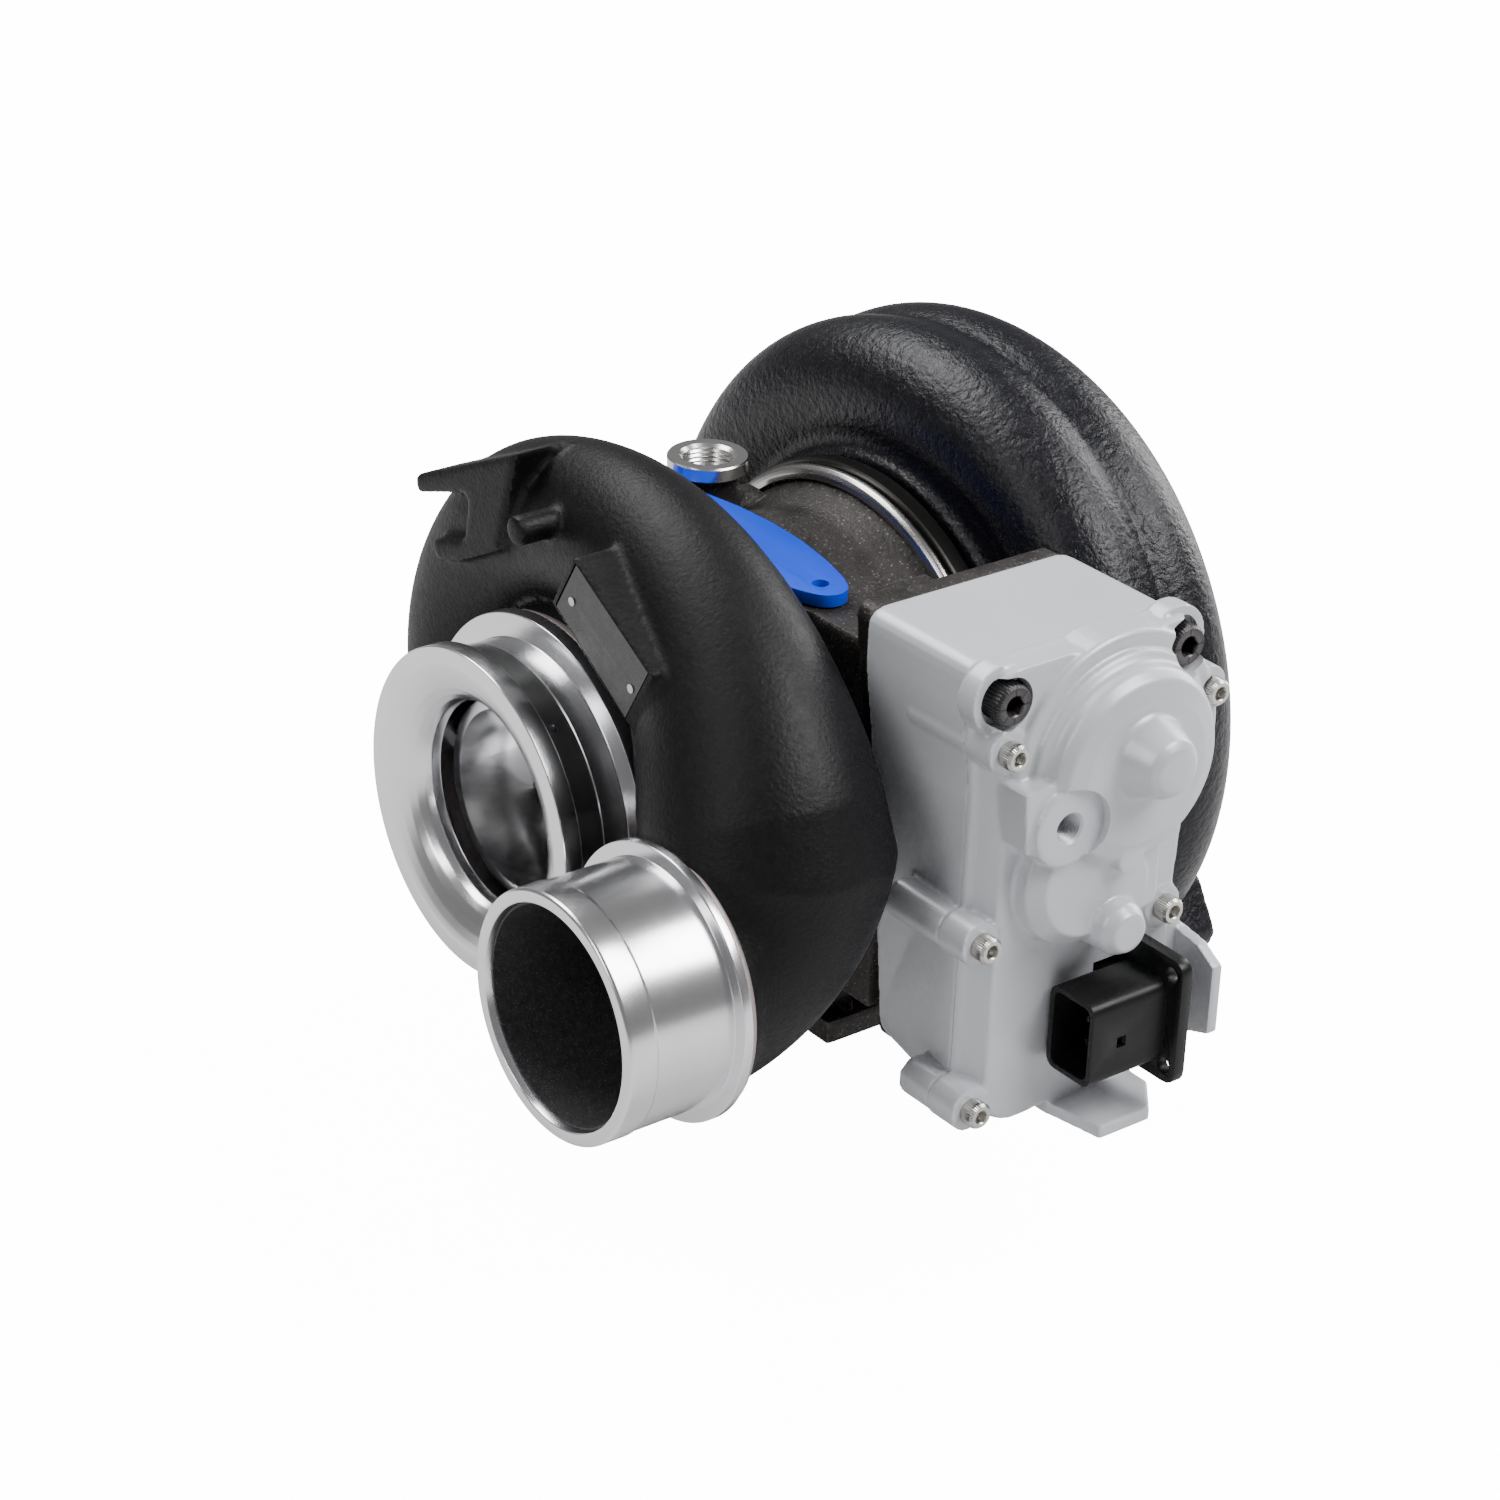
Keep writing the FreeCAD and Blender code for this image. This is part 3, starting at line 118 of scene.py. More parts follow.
def eased(corners: Flat, reach: float, steps: int = 5) -> np.ndarray:
    """Round every corner of a closed outline with a parabola cut back along both edges.

    Formula: with t from 0 to 1, point = (1-t)^2 before + 2t(1-t) corner + t^2 after, where before
    and after lie reach from the corner, or 45% of the edge where that is shorter.
    """
    corner = np.array(corners, float)
    back = np.roll(corner, 1, axis=0) - corner
    ahead = np.roll(corner, -1, axis=0) - corner
    back_length = np.linalg.norm(back, axis=1, keepdims=True)
    ahead_length = np.linalg.norm(ahead, axis=1, keepdims=True)
    before = corner + back * np.minimum(reach / back_length, 0.45)
    after = corner + ahead * np.minimum(reach / ahead_length, 0.45)
    t = np.linspace(0, 1, steps)[None, :, None]
    curve = (1 - t) ** 2 * before[:, None] + 2 * t * (1 - t) * corner[:, None] + t ** 2 * after[:, None]
    return curve.reshape(-1, 2)


def lathe(outline: Flat, centre: Point = (0, 0, 0), axis: Axis = Axis.X, around: int = 144,
          ease: float = 0.0) -> Shell:
    """Surface of revolution: point = centre + along * axis + radius * (cos a across + sin a upright).

    Args:
        outline: (along, radius) corners; it is closed unless both ends are on the axis.
        centre: a point on the axis.
        axis: the direction of the axis.
        around: points round the axis.
        ease: rounding of the outline's corners.

    Returns:
        The closed shell.
    """
    profile = np.array(outline, float)
    closed = profile[0, 1] > 1e-6 or profile[-1, 1] > 1e-6
    if closed and ease > 0:
        profile = eased(outline, ease)
    if closed:
        profile = np.concatenate([profile, profile[:1]])
    along, across, upright = (np.array(row, float) for row in axis.value)
    turn = np.linspace(0, 2 * np.pi, around, endpoint=False)
    circle = np.cos(turn)[:, None] * across + np.sin(turn)[:, None] * upright
    rows = np.array(centre, float) + profile[:, :1, None] * along + profile[:, 1:, None] * circle
    return grid_shell(rows, caps=False)


def disc(centre: Point, radius: float, length: float, axis: Axis, around: int = 48) -> Shell:
    """Plain cylinder from the centre along the axis, as a turned shape."""
    return lathe([(0, 0), (0, radius), (length, radius), (length, 0)], centre, axis, around)


def prism(outline: Sequence[Point], sweep: Point) -> Shell:
    """Flat outline carried along a straight sweep: point = corner + t * sweep, t being 0 or 1."""
    base = np.array(outline, float)
    return grid_shell(np.stack([base, base + np.array(sweep, float)]), caps=True)


def block(low: Point, high: Point) -> Shell:
    """Box between two opposite corners."""
    (x0, y0, z0), (x1, y1, z1) = low, high
    return prism([(x0, y0, z0), (x1, y0, z0), (x1, y1, z0), (x0, y1, z0)], (0, 0, z1 - z0))


def plate(outline: Flat, y: float, depth: float, ease: float = 0.0) -> Shell:
    """Upright plate in the x-z plane at y, swept by depth along +y, its corners eased."""
    flat = eased(outline, ease) if ease > 0 else np.array(outline, float)
    return prism(np.insert(flat, 1, y, axis=1), (0, depth, 0))


def tube(centres: np.ndarray, across: np.ndarray, upright: np.ndarray, around: int = 96) -> Shell:
    """Oval section carried along a path: point = centre + cos a across + sin a upright.

    Args:
        centres: path points, n x 3.
        across: half axis of the oval at each path point, n x 3.
        upright: the other half axis at each path point, n x 3.
        around: points round the section.

    Returns:
        The tube with flat ends.
    """
    turn = np.linspace(0, 2 * np.pi, around, endpoint=False)[None, :, None]
    rows = centres[:, None] + np.cos(turn) * across[:, None] + np.sin(turn) * upright[:, None]
    return grid_shell(rows, caps=True)


def smooth_through(keys: np.ndarray, at: np.ndarray) -> np.ndarray:
    """Cubic curve through key rows, whose first column is the place and the rest are values.

    Formula: the Hermite cubic of each span, with slopes from the neighbouring keys.
    """
    order = np.argsort(keys[:, 0])
    place = keys[order, 0]
    value = keys[order, 1:]
    slope = np.gradient(value, place, axis=0)
    span = np.clip(np.searchsorted(place, at) - 1, 0, len(place) - 2)
    width = (place[span + 1] - place[span])[:, None]
    t = ((at - place[span]) / width[:, 0])[:, None]
    low, high = value[span], value[span + 1]
    return ((2 * t ** 3 - 3 * t ** 2 + 1) * low + (t ** 3 - 2 * t ** 2 + t) * width * slope[span]
            + (3 * t ** 2 - 2 * t ** 3) * high + (t ** 3 - t ** 2) * width * slope[span + 1])


def spiral(keys: Flat, stations: int, thinner: float = 0.0) -> tuple[np.ndarray, np.ndarray, np.ndarray]:
    """Path of a scroll whose sections hold the shaft axis.

    Formula: outward = (0, -cos a, sin a), centre = (x, 0, 0) + reach * outward; the oval's half
    axes are radius * flatness along the shaft and radius outward.

    Args:
        keys: rows of (angle from -Y upward in degrees, x, reach, radius, flatness).
        stations: sections along the scroll, from the first key's angle to the last's.
        thinner: taken off every radius, for a passage inside a wall.

    Returns:
        Centres, half axes along the shaft and half axes outward.
    """
    table = np.array(keys, float)
    at = np.linspace(table[0, 0], table[-1, 0], stations)
    x, reach, radius, flatness = smooth_through(table, at).T
    turn = np.radians(at)
    outward = np.stack([np.zeros_like(turn), -np.cos(turn), np.sin(turn)], axis=1)
    centres = outward * reach[:, None]
    centres[:, 0] = x
    along = np.zeros_like(outward)
    along[:, 0] = (radius - thinner) * flatness
    return centres, along, outward * (radius - thinner)[:, None]


def hexagon(x: float, y: float, z: float, radius: float, depth: float) -> Shell:
    """Six-sided prism along +y, for sockets and nuts."""
    turn = np.radians(np.arange(6) * 60.0)
    ring = np.stack([x + radius * np.cos(turn), np.full(6, y), z + radius * np.sin(turn)], axis=1)
    return prism(ring, (0, depth, 0))


# ------------------------------------------------------------ making objects
def new_object(name: str, shells: Sequence[Shell]) -> bpy.types.Object:
    """Put shells in one mesh, in metres, with doubles merged and faces pointing outwards."""
    counts = np.cumsum([0] + [len(shell.points) for shell in shells])
    points = np.concatenate([shell.points for shell in shells]) * MM
    faces = [[int(start) + index for index in face]
             for start, shell in zip(counts, shells) for face in shell.faces]
    mesh = bpy.data.meshes.new(name)
    mesh.from_pydata(points.tolist(), [], faces)
    cleaner = bmesh.new()
    cleaner.from_mesh(mesh)
    bmesh.ops.remove_doubles(cleaner, verts=cleaner.verts, dist=2e-6)
    bmesh.ops.recalc_face_normals(cleaner, faces=cleaner.faces)
    cleaner.to_mesh(mesh)
    cleaner.free()
    piece = bpy.data.objects.new(name, mesh)
    bpy.context.scene.collection.objects.link(piece)
    return piece


def settle(piece: bpy.types.Object, sharp_degrees: float = 32.0) -> bpy.types.Object:
    """Apply every modifier, then shade smooth with edges sharper than the angle kept crisp."""
    depsgraph = bpy.context.evaluated_depsgraph_get()
    mesh = bpy.data.meshes.new_from_object(piece.evaluated_get(depsgraph))
    piece.modifiers.clear()
    piece.data = mesh
    mesh.shade_smooth()
    mesh.set_sharp_from_angle(angle=math.radians(sharp_degrees))
    return piece


def cut(piece: bpy.types.Object, cutters: Sequence[Shell]) -> None:
    """Take each cutter's volume out of the piece, one after another, and apply the result."""
    tools = []
    for number, shell in enumerate(cutters):
        tool = new_object(f"{piece.name}_tool_{number}", [shell])
        tools.append(tool)
        modifier = piece.modifiers.new("cut", "BOOLEAN")
        modifier.operation = "DIFFERENCE"
        modifier.solver = "MANIFOLD"
        modifier.object = tool
    settle(piece)
    for tool in tools:
        bpy.data.objects.remove(tool)


def cast(name: str, shells: Sequence[Shell], voxel: float, softening: int,
         cutters: Sequence[Shell] = ()) -> bpy.types.Object:
    """Casting: overlapping shells run together with soft fillets, then machined by the cutters.

    Args:
        name: the piece's name.
        shells: closed shapes that the casting is made of.
        voxel: mesh size in millimetres.
        softening: rounds of smoothing, which set how round the fillets are.
        cutters: closed shapes taken out afterwards with crisp edges.

    Returns:
        The finished object.
    """
    piece = new_object(name, shells)
    remesh = piece.modifiers.new("skin", "REMESH")
    remesh.mode = "VOXEL"
    remesh.voxel_size = voxel * MM
    smooth = piece.modifiers.new("soften", "SMOOTH")
    smooth.factor = 0.5
    smooth.iterations = softening
    settle(piece)
    if cutters:
        cut(piece, cutters)
    LOG.info("%s: %d faces", name, len(piece.data.polygons))
    return piece


def crisp(name: str, shells: Sequence[Shell], bevel: float = 0.0, cutters: Sequence[Shell] = (),
          angle: float = 32.0) -> bpy.types.Object:
    """Machined or moulded piece: shells as they are, cut, then bevelled by so many millimetres."""
    piece = new_object(name, shells)
    if cutters:
        cut(piece, cutters)
    if bevel > 0:
        modifier = piece.modifiers.new("bevel", "BEVEL")
        modifier.width = bevel * MM
        modifier.segments = 3
        modifier.limit_method = "ANGLE"
        modifier.angle_limit = math.radians(40)
        modifier.harden_normals = False
    settle(piece, angle)
    LOG.info("%s: %d faces", name, len(piece.data.polygons))
    return piece


# ------------------------------------------------------------------ finishes
class Style(Enum):
    """How a surface was made, which sets the pattern in its bump and roughness."""

    CAST = "cast"
    TURNED = "turned"
    MOULDED = "moulded"


def group_with(name: str, inputs: Sequence[tuple[str, str, float]],
               outputs: Sequence[str]) -> bpy.types.ShaderNodeTree:
    """Empty shader node group with named inputs and float outputs."""
    group = bpy.data.node_groups.new(name, "ShaderNodeTree")
    for label, kind, value in inputs:
        socket = group.interface.new_socket(name=label, in_out="INPUT", socket_type=kind)
        if kind == "NodeSocketFloat":
            socket.default_value = value
    for label in outputs:
        group.interface.new_socket(name=label, in_out="OUTPUT", socket_type="NodeSocketFloat")
    return group


def noise(tree: bpy.types.NodeTree, vector: bpy.types.NodeSocket, detail: float,
          rough: float = 0.55) -> bpy.types.Node:
    """Noise texture node on the given vector."""
    node = tree.nodes.new("ShaderNodeTexNoise")
    node.inputs["Detail"].default_value = detail
    node.inputs["Roughness"].default_value = rough
    tree.links.new(vector, node.inputs["Vector"])
    return node


def make_grain_group() -> bpy.types.ShaderNodeTree:
    """Cast or coated skin: fine grain, larger mottling and their mixed height."""
    group = group_with("skin_grain", [("Vector", "NodeSocketVector", 0), ("Scale", "NodeSocketFloat", 900),
                                      ("Mottle Scale", "NodeSocketFloat", 40)],
                       ["Height", "Mottle", "Speck"])
    nodes, links = group.nodes, group.links
    source = nodes.new("NodeGroupInput")
    sink = nodes.new("NodeGroupOutput")
    fine = noise(group, source.outputs["Vector"], 4.0, 0.6)
    links.new(source.outputs["Scale"], fine.inputs["Scale"])
    broad = noise(group, source.outputs["Vector"], 5.0, 0.6)
    links.new(source.outputs["Mottle Scale"], broad.inputs["Scale"])
    cells = nodes.new("ShaderNodeTexVoronoi")
    links.new(source.outputs["Vector"], cells.inputs["Vector"])
    links.new(source.outputs["Scale"], cells.inputs["Scale"])
    speck = nodes.new("ShaderNodeMapRange")
    speck.inputs["From Min"].default_value = 0.25
    speck.inputs["From Max"].default_value = 0.0
    links.new(cells.outputs["Distance"], speck.inputs["Value"])
    height = nodes.new("ShaderNodeMath")
    height.operation = "MULTIPLY_ADD"
    height.inputs[1].default_value = 0.35
    links.new(broad.outputs["Fac"], height.inputs[0])
    links.new(fine.outputs["Fac"], height.inputs[2])
    links.new(height.outputs[0], sink.inputs["Height"])
    links.new(broad.outputs["Fac"], sink.inputs["Mottle"])
    links.new(speck.outputs["Result"], sink.inputs["Speck"])
    return group


def make_turned_group() -> bpy.types.ShaderNodeTree:
    """Lathe marks: noise over (distance along the axis, radius), so that it forms fine rings."""
    group = group_with("lathe_marks", [("Vector", "NodeSocketVector", 0), ("Scale", "NodeSocketFloat", 3000)],
                       ["Height", "Mottle", "Speck"])
    nodes, links = group.nodes, group.links
    source = nodes.new("NodeGroupInput")
    sink = nodes.new("NodeGroupOutput")
    split = nodes.new("ShaderNodeSeparateXYZ")
    links.new(source.outputs["Vector"], split.inputs[0])
    flat = nodes.new("ShaderNodeCombineXYZ")
    links.new(split.outputs["Y"], flat.inputs["X"])
    links.new(split.outputs["Z"], flat.inputs["Y"])
    radius = nodes.new("ShaderNodeVectorMath")
    radius.operation = "LENGTH"
    links.new(flat.outputs[0], radius.inputs[0])
    rings = nodes.new("ShaderNodeCombineXYZ")
    links.new(split.outputs["X"], rings.inputs["X"])
    links.new(radius.outputs["Value"], rings.inputs["Y"])
    marks = noise(group, rings.outputs[0], 3.0, 0.7)
    links.new(source.outputs["Scale"], marks.inputs["Scale"])
    bands = noise(group, rings.outputs[0], 2.0, 0.6)
    bands.inputs["Scale"].default_value = 160
    smear = noise(group, source.outputs["Vector"], 4.0, 0.6)
    smear.inputs["Scale"].default_value = 60
    mixed = nodes.new("ShaderNodeMath")
    mixed.operation = "MULTIPLY"
    links.new(bands.outputs["Fac"], mixed.inputs[0])
    links.new(smear.outputs["Fac"], mixed.inputs[1])
    links.new(marks.outputs["Fac"], sink.inputs["Height"])
    links.new(mixed.outputs[0], sink.inputs["Mottle"])
    links.new(smear.outputs["Fac"], sink.inputs["Speck"])
    return group


def make_wear_group() -> bpy.types.ShaderNodeTree:
    """Edge wear: where the surface is sharply convex, broken up by noise."""
    group = group_with("edge_wear", [("Vector", "NodeSocketVector", 0), ("Amount", "NodeSocketFloat", 0.5)],
                       ["Mask"])
    nodes, links = group.nodes, group.links
    source = nodes.new("NodeGroupInput")
    sink = nodes.new("NodeGroupOutput")
    geometry = nodes.new("ShaderNodeNewGeometry")
    ramp = nodes.new("ShaderNodeMapRange")
    ramp.inputs["From Min"].default_value = 0.53
    ramp.inputs["From Max"].default_value = 0.66
    links.new(geometry.outputs["Pointiness"], ramp.inputs["Value"])
    patches = noise(group, source.outputs["Vector"], 4.0, 0.65)
    patches.inputs["Scale"].default_value = 220
    broken = nodes.new("ShaderNodeMath")
    broken.operation = "MULTIPLY"
    links.new(ramp.outputs["Result"], broken.inputs[0])
    links.new(patches.outputs["Fac"], broken.inputs[1])
    scaled = nodes.new("ShaderNodeMath")
    scaled.operation = "MULTIPLY"
    scaled.use_clamp = True
    links.new(broken.outputs[0], scaled.inputs[0])
    links.new(source.outputs["Amount"], scaled.inputs[1])
    links.new(scaled.outputs[0], sink.inputs["Mask"])
    return group


@dataclass(frozen=True)
class Finish:
    """One surface finish, with every value that its material needs."""

    name: str
    base: Point
    tint: Point
    rough_low: float
    rough_high: float
    metallic: float = 0.0
    style: Style = Style.CAST
    scale: float = 900.0
    mottle: float = 40.0
    depth: float = 0.08
    wear: Point = (0.3, 0.3, 0.3)
    wear_amount: float = 0.0
    speck: float = 0.0
    coat: float = 0.0
    centre: Point = (0.0, 0.0, 0.0)
    axis: Axis = Axis.X
    specular: float = 0.5

    def material(self, groups: dict[Style, bpy.types.ShaderNodeTree],
                 wear: bpy.types.ShaderNodeTree) -> bpy.types.Material:
        """Build the node material: pattern group, colour, roughness, edge wear and bump."""
        made = bpy.data.materials.new(self.name)
        made.use_nodes = True
        tree = made.node_tree
        nodes, links = tree.nodes, tree.links
        shader = nodes["Principled BSDF"]
        place = nodes.new("ShaderNodeTexCoord")
        centred = nodes.new("ShaderNodeMapping")
        centred.inputs["Location"].default_value = [-value * MM for value in self.centre]
        links.new(place.outputs["Object"], centred.inputs["Vector"])
        vector = centred.outputs[0]
        if self.axis is Axis.Z:
            turn = nodes.new("ShaderNodeMapping")
            turn.inputs["Rotation"].default_value = (0, math.radians(90), 0)
            links.new(vector, turn.inputs["Vector"])
            vector = turn.outputs[0]
        if self.axis is Axis.MINUS_Y:
            turn = nodes.new("ShaderNodeMapping")
            turn.inputs["Rotation"].default_value = (0, 0, math.radians(90))
            links.new(vector, turn.inputs["Vector"])
            vector = turn.outputs[0]
        pattern = nodes.new("ShaderNodeGroup")
        pattern.node_tree = groups[self.style]
        pattern.inputs["Scale"].default_value = self.scale
        if "Mottle Scale" in pattern.inputs:
            pattern.inputs["Mottle Scale"].default_value = self.mottle
        links.new(vector, pattern.inputs["Vector"])
        colour = nodes.new("ShaderNodeMix")
        colour.data_type = "RGBA"
        colour.inputs["A"].default_value = (*self.base, 1)
        colour.inputs["B"].default_value = (*self.tint, 1)
        links.new(pattern.outputs["Mottle"], colour.inputs["Factor"])
        result = colour.outputs["Result"]
        if self.speck > 0:
            strength = nodes.new("ShaderNodeMath")
            strength.operation = "MULTIPLY"
            strength.inputs[1].default_value = self.speck
            links.new(pattern.outputs["Speck"], strength.inputs[0])
            specks = nodes.new("ShaderNodeMix")
            specks.data_type = "RGBA"
            specks.inputs["B"].default_value = (*self.wear, 1)
            links.new(strength.outputs[0], specks.inputs["Factor"])
            links.new(result, specks.inputs["A"])
            result = specks.outputs["Result"]
        if self.wear_amount > 0:
            mask = nodes.new("ShaderNodeGroup")
            mask.node_tree = wear
            mask.inputs["Amount"].default_value = self.wear_amount
            links.new(place.outputs["Object"], mask.inputs["Vector"])
            worn = nodes.new("ShaderNodeMix")
            worn.data_type = "RGBA"
            worn.inputs["B"].default_value = (*self.wear, 1)
            links.new(mask.outputs["Mask"], worn.inputs["Factor"])
            links.new(result, worn.inputs["A"])
            result = worn.outputs["Result"]
        links.new(result, shader.inputs["Base Color"])
        rough = nodes.new("ShaderNodeMapRange")
        rough.inputs["From Min"].default_value = 0.3
        rough.inputs["From Max"].default_value = 0.7
        rough.inputs["To Min"].default_value = self.rough_low
        rough.inputs["To Max"].default_value = self.rough_high
        links.new(pattern.outputs["Mottle"], rough.inputs["Value"])
        links.new(rough.outputs["Result"], shader.inputs["Roughness"])
        bump = nodes.new("ShaderNodeBump")
        bump.inputs["Distance"].default_value = self.depth * MM
        links.new(pattern.outputs["Height"], bump.inputs["Height"])
        links.new(bump.outputs["Normal"], shader.inputs["Normal"])
        shader.inputs["Metallic"].default_value = self.metallic
        shader.inputs["Specular IOR Level"].default_value = self.specular
        shader.inputs["Coat Weight"].default_value = self.coat
        shader.inputs["Coat Roughness"].default_value = 0.25
        return made


FINISHES = (
    Finish("powder_coat", (0.0025, 0.0025, 0.0032), (0.0045, 0.0045, 0.0055), 0.40, 0.50, scale=700, mottle=300,
           depth=0.26, wear=(0.02, 0.02, 0.022), wear_amount=0.4, speck=0.1, specular=0.22),
    Finish("polished_inlet", (0.84, 0.84, 0.86), (0.74, 0.74, 0.76), 0.22, 0.32, 1.0, Style.TURNED,
           scale=2600, depth=0.006),
    Finish("polished_outlet", (0.84, 0.84, 0.86), (0.74, 0.74, 0.76), 0.22, 0.32, 1.0, Style.TURNED,
           scale=2600, depth=0.006, centre=(0, -99, -12)),
    Finish("raw_cast_aluminium", (0.50, 0.44, 0.43), (0.36, 0.31, 0.30), 0.42, 0.62, 0.7, scale=700,
           mottle=120, depth=0.35, wear=(0.8, 0.76, 0.75), wear_amount=0.8, speck=0.25),
    Finish("blasted_bore", (0.05, 0.05, 0.054), (0.12, 0.12, 0.125), 0.42, 0.62, 0.6, scale=1100, mottle=420,
           depth=0.30, wear=(0.5, 0.5, 0.5), speck=0.7),
    Finish("bare_cast_iron", (0.022, 0.020, 0.019), (0.055, 0.051, 0.048), 0.36, 0.60, 0.6, scale=620,
           mottle=110, depth=0.40, wear=(0.34, 0.32, 0.30), wear_amount=1.1, speck=0.6, specular=0.35),
    Finish("painted_cast_iron", (0.0025, 0.0025, 0.004), (0.005, 0.005, 0.009), 0.24, 0.36, scale=420,
           mottle=200, depth=0.62, wear=(0.03, 0.03, 0.04), wear_amount=0.3, speck=0.1, specular=0.34),
    Finish("milled_steel", (0.74, 0.73, 0.72), (0.60, 0.59, 0.58), 0.24, 0.36, 1.0, Style.TURNED, scale=2200,
           depth=0.01, centre=(121.4, 42.4, 0), axis=Axis.Z),
    Finish("clamp_steel", (0.58, 0.57, 0.56), (0.34, 0.33, 0.32), 0.24, 0.38, 1.0, Style.TURNED, scale=1800,
           depth=0.012),
    Finish("clamp_dark", (0.060, 0.058, 0.056), (0.030, 0.029, 0.029), 0.28, 0.44, 0.9, Style.TURNED,
           scale=1500, depth=0.012),
    Finish("blue_plastic", (0.0, 0.045, 0.62), (0.0, 0.060, 0.70), 0.28, 0.36, style=Style.MOULDED, scale=500,
           mottle=20, depth=0.01, wear=(0.1, 0.3, 0.9), coat=0.12),
    Finish("black_plastic", (0.003, 0.003, 0.0035), (0.005, 0.005, 0.0055), 0.32, 0.44, style=Style.MOULDED,
           scale=1600, mottle=80, depth=0.05, wear=(0.04, 0.04, 0.04), wear_amount=0.3, specular=0.3),
    Finish("plate_black", (0.002, 0.002, 0.003), (0.004, 0.004, 0.005), 0.16, 0.26, style=Style.MOULDED,
           scale=900, mottle=60, depth=0.015, wear=(0.2, 0.2, 0.2), wear_amount=0.5),
    Finish("grey_paint", (0.55, 0.56, 0.59), (0.60, 0.61, 0.64), 0.30, 0.40, 0.15, scale=1400, mottle=30,
           depth=0.035, wear=(0.66, 0.66, 0.68), wear_amount=0.25, coat=0.12),
    Finish("zinc_steel", (0.62, 0.61, 0.57), (0.46, 0.45, 0.42), 0.24, 0.38, 1.0, scale=900, mottle=250,
           depth=0.02, wear=(0.8, 0.8, 0.78), wear_amount=0.5),
    Finish("black_oxide", (0.006, 0.006, 0.007), (0.014, 0.013, 0.013), 0.28, 0.40, 0.4, scale=1200,
           mottle=200, depth=0.03, wear=(0.16, 0.15, 0.15), wear_amount=0.9),
    Finish("wheel_aluminium", (0.80, 0.80, 0.80), (0.66, 0.66, 0.67), 0.28, 0.40, 1.0, Style.TURNED,
           scale=2400, depth=0.01),
    Finish("dark_steel", (0.10, 0.095, 0.09), (0.18, 0.17, 0.16), 0.35, 0.5, 0.9, scale=900, mottle=90,
           depth=0.05, wear=(0.3, 0.3, 0.3), wear_amount=0.4),
    Finish("ground_steel", (0.60, 0.59, 0.58), (0.48, 0.47, 0.46), 0.20, 0.34, 1.0, Style.TURNED, scale=2600,
           depth=0.006),
    Finish("bearing_bronze", (0.62, 0.40, 0.17), (0.50, 0.31, 0.12), 0.25, 0.4, 1.0, Style.TURNED, scale=2200,
           depth=0.01),
    Finish("seal_rubber", (0.012, 0.012, 0.012), (0.02, 0.02, 0.02), 0.5, 0.65, style=Style.MOULDED,
           scale=900, depth=0.02),
    Finish("winding_steel", (0.30, 0.29, 0.28), (0.22, 0.21, 0.20), 0.3, 0.45, 0.9, scale=900, mottle=120,
           depth=0.03),
    Finish("board_green", (0.01, 0.11, 0.045), (0.015, 0.14, 0.06), 0.35, 0.5, style=Style.MOULDED, scale=700,
           mottle=180, depth=0.02),
)

SLOT_FINISH = {
    "black_coated_casting": "powder_coat", "machined_aluminium": "polished_inlet",
    "plate_black": "plate_black", "wheel_aluminium": "wheel_aluminium", "bare_iron": "bare_cast_iron",
    "painted_iron": "painted_cast_iron", "dark_steel": "dark_steel", "steel": "ground_steel",
    "bronze": "bearing_bronze", "rubber_black": "seal_rubber", "blue_plastic": "blue_plastic",
    "zinc_steel": "zinc_steel", "black_oxide": "black_oxide", "grey_paint": "grey_paint",
    "black_plastic": "black_plastic", "motor_steel": "winding_steel", "board_green": "board_green",
}


class Paints:
    """Every finish as a Blender material, made once and put on pieces by name."""

    def __init__(self) -> None:
        """Build the shared node groups and all the materials."""
        grain = make_grain_group()
        groups = {Style.CAST: grain, Style.MOULDED: grain, Style.TURNED: make_turned_group()}
        wear = make_wear_group()
        self.materials = {finish.name: finish.material(groups, wear) for finish in FINISHES}

    def put(self, piece: bpy.types.Object, finish: str, slot: str, *nodes: str) -> None:
        """Finish a new piece, ride it on the fixed body and hide the CAD nodes it stands for."""
        piece.data.materials.clear()
        piece.data.materials.append(self.materials[finish])
        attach(piece, "turbo_body")
        if nodes:
            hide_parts(*nodes)

    def dress_frame(self) -> None:
        """Give every CAD node that still shows the finish of its material slot."""
        for part in frame["record"]["subparts"]:
            node = frame["nodes"].get(part.get("node") or part.get("name"))
            slot = part.get("material") or part.get("material_slot") or part.get("slot")
            if node is None or slot not in SLOT_FINISH:
                LOG.warning("no finish for %s", part)
                continue
            finish = self.materials[SLOT_FINISH[slot]]
            if not node.material_slots:
                node.data.materials.append(finish)
            for place in node.material_slots:
                place.material = finish


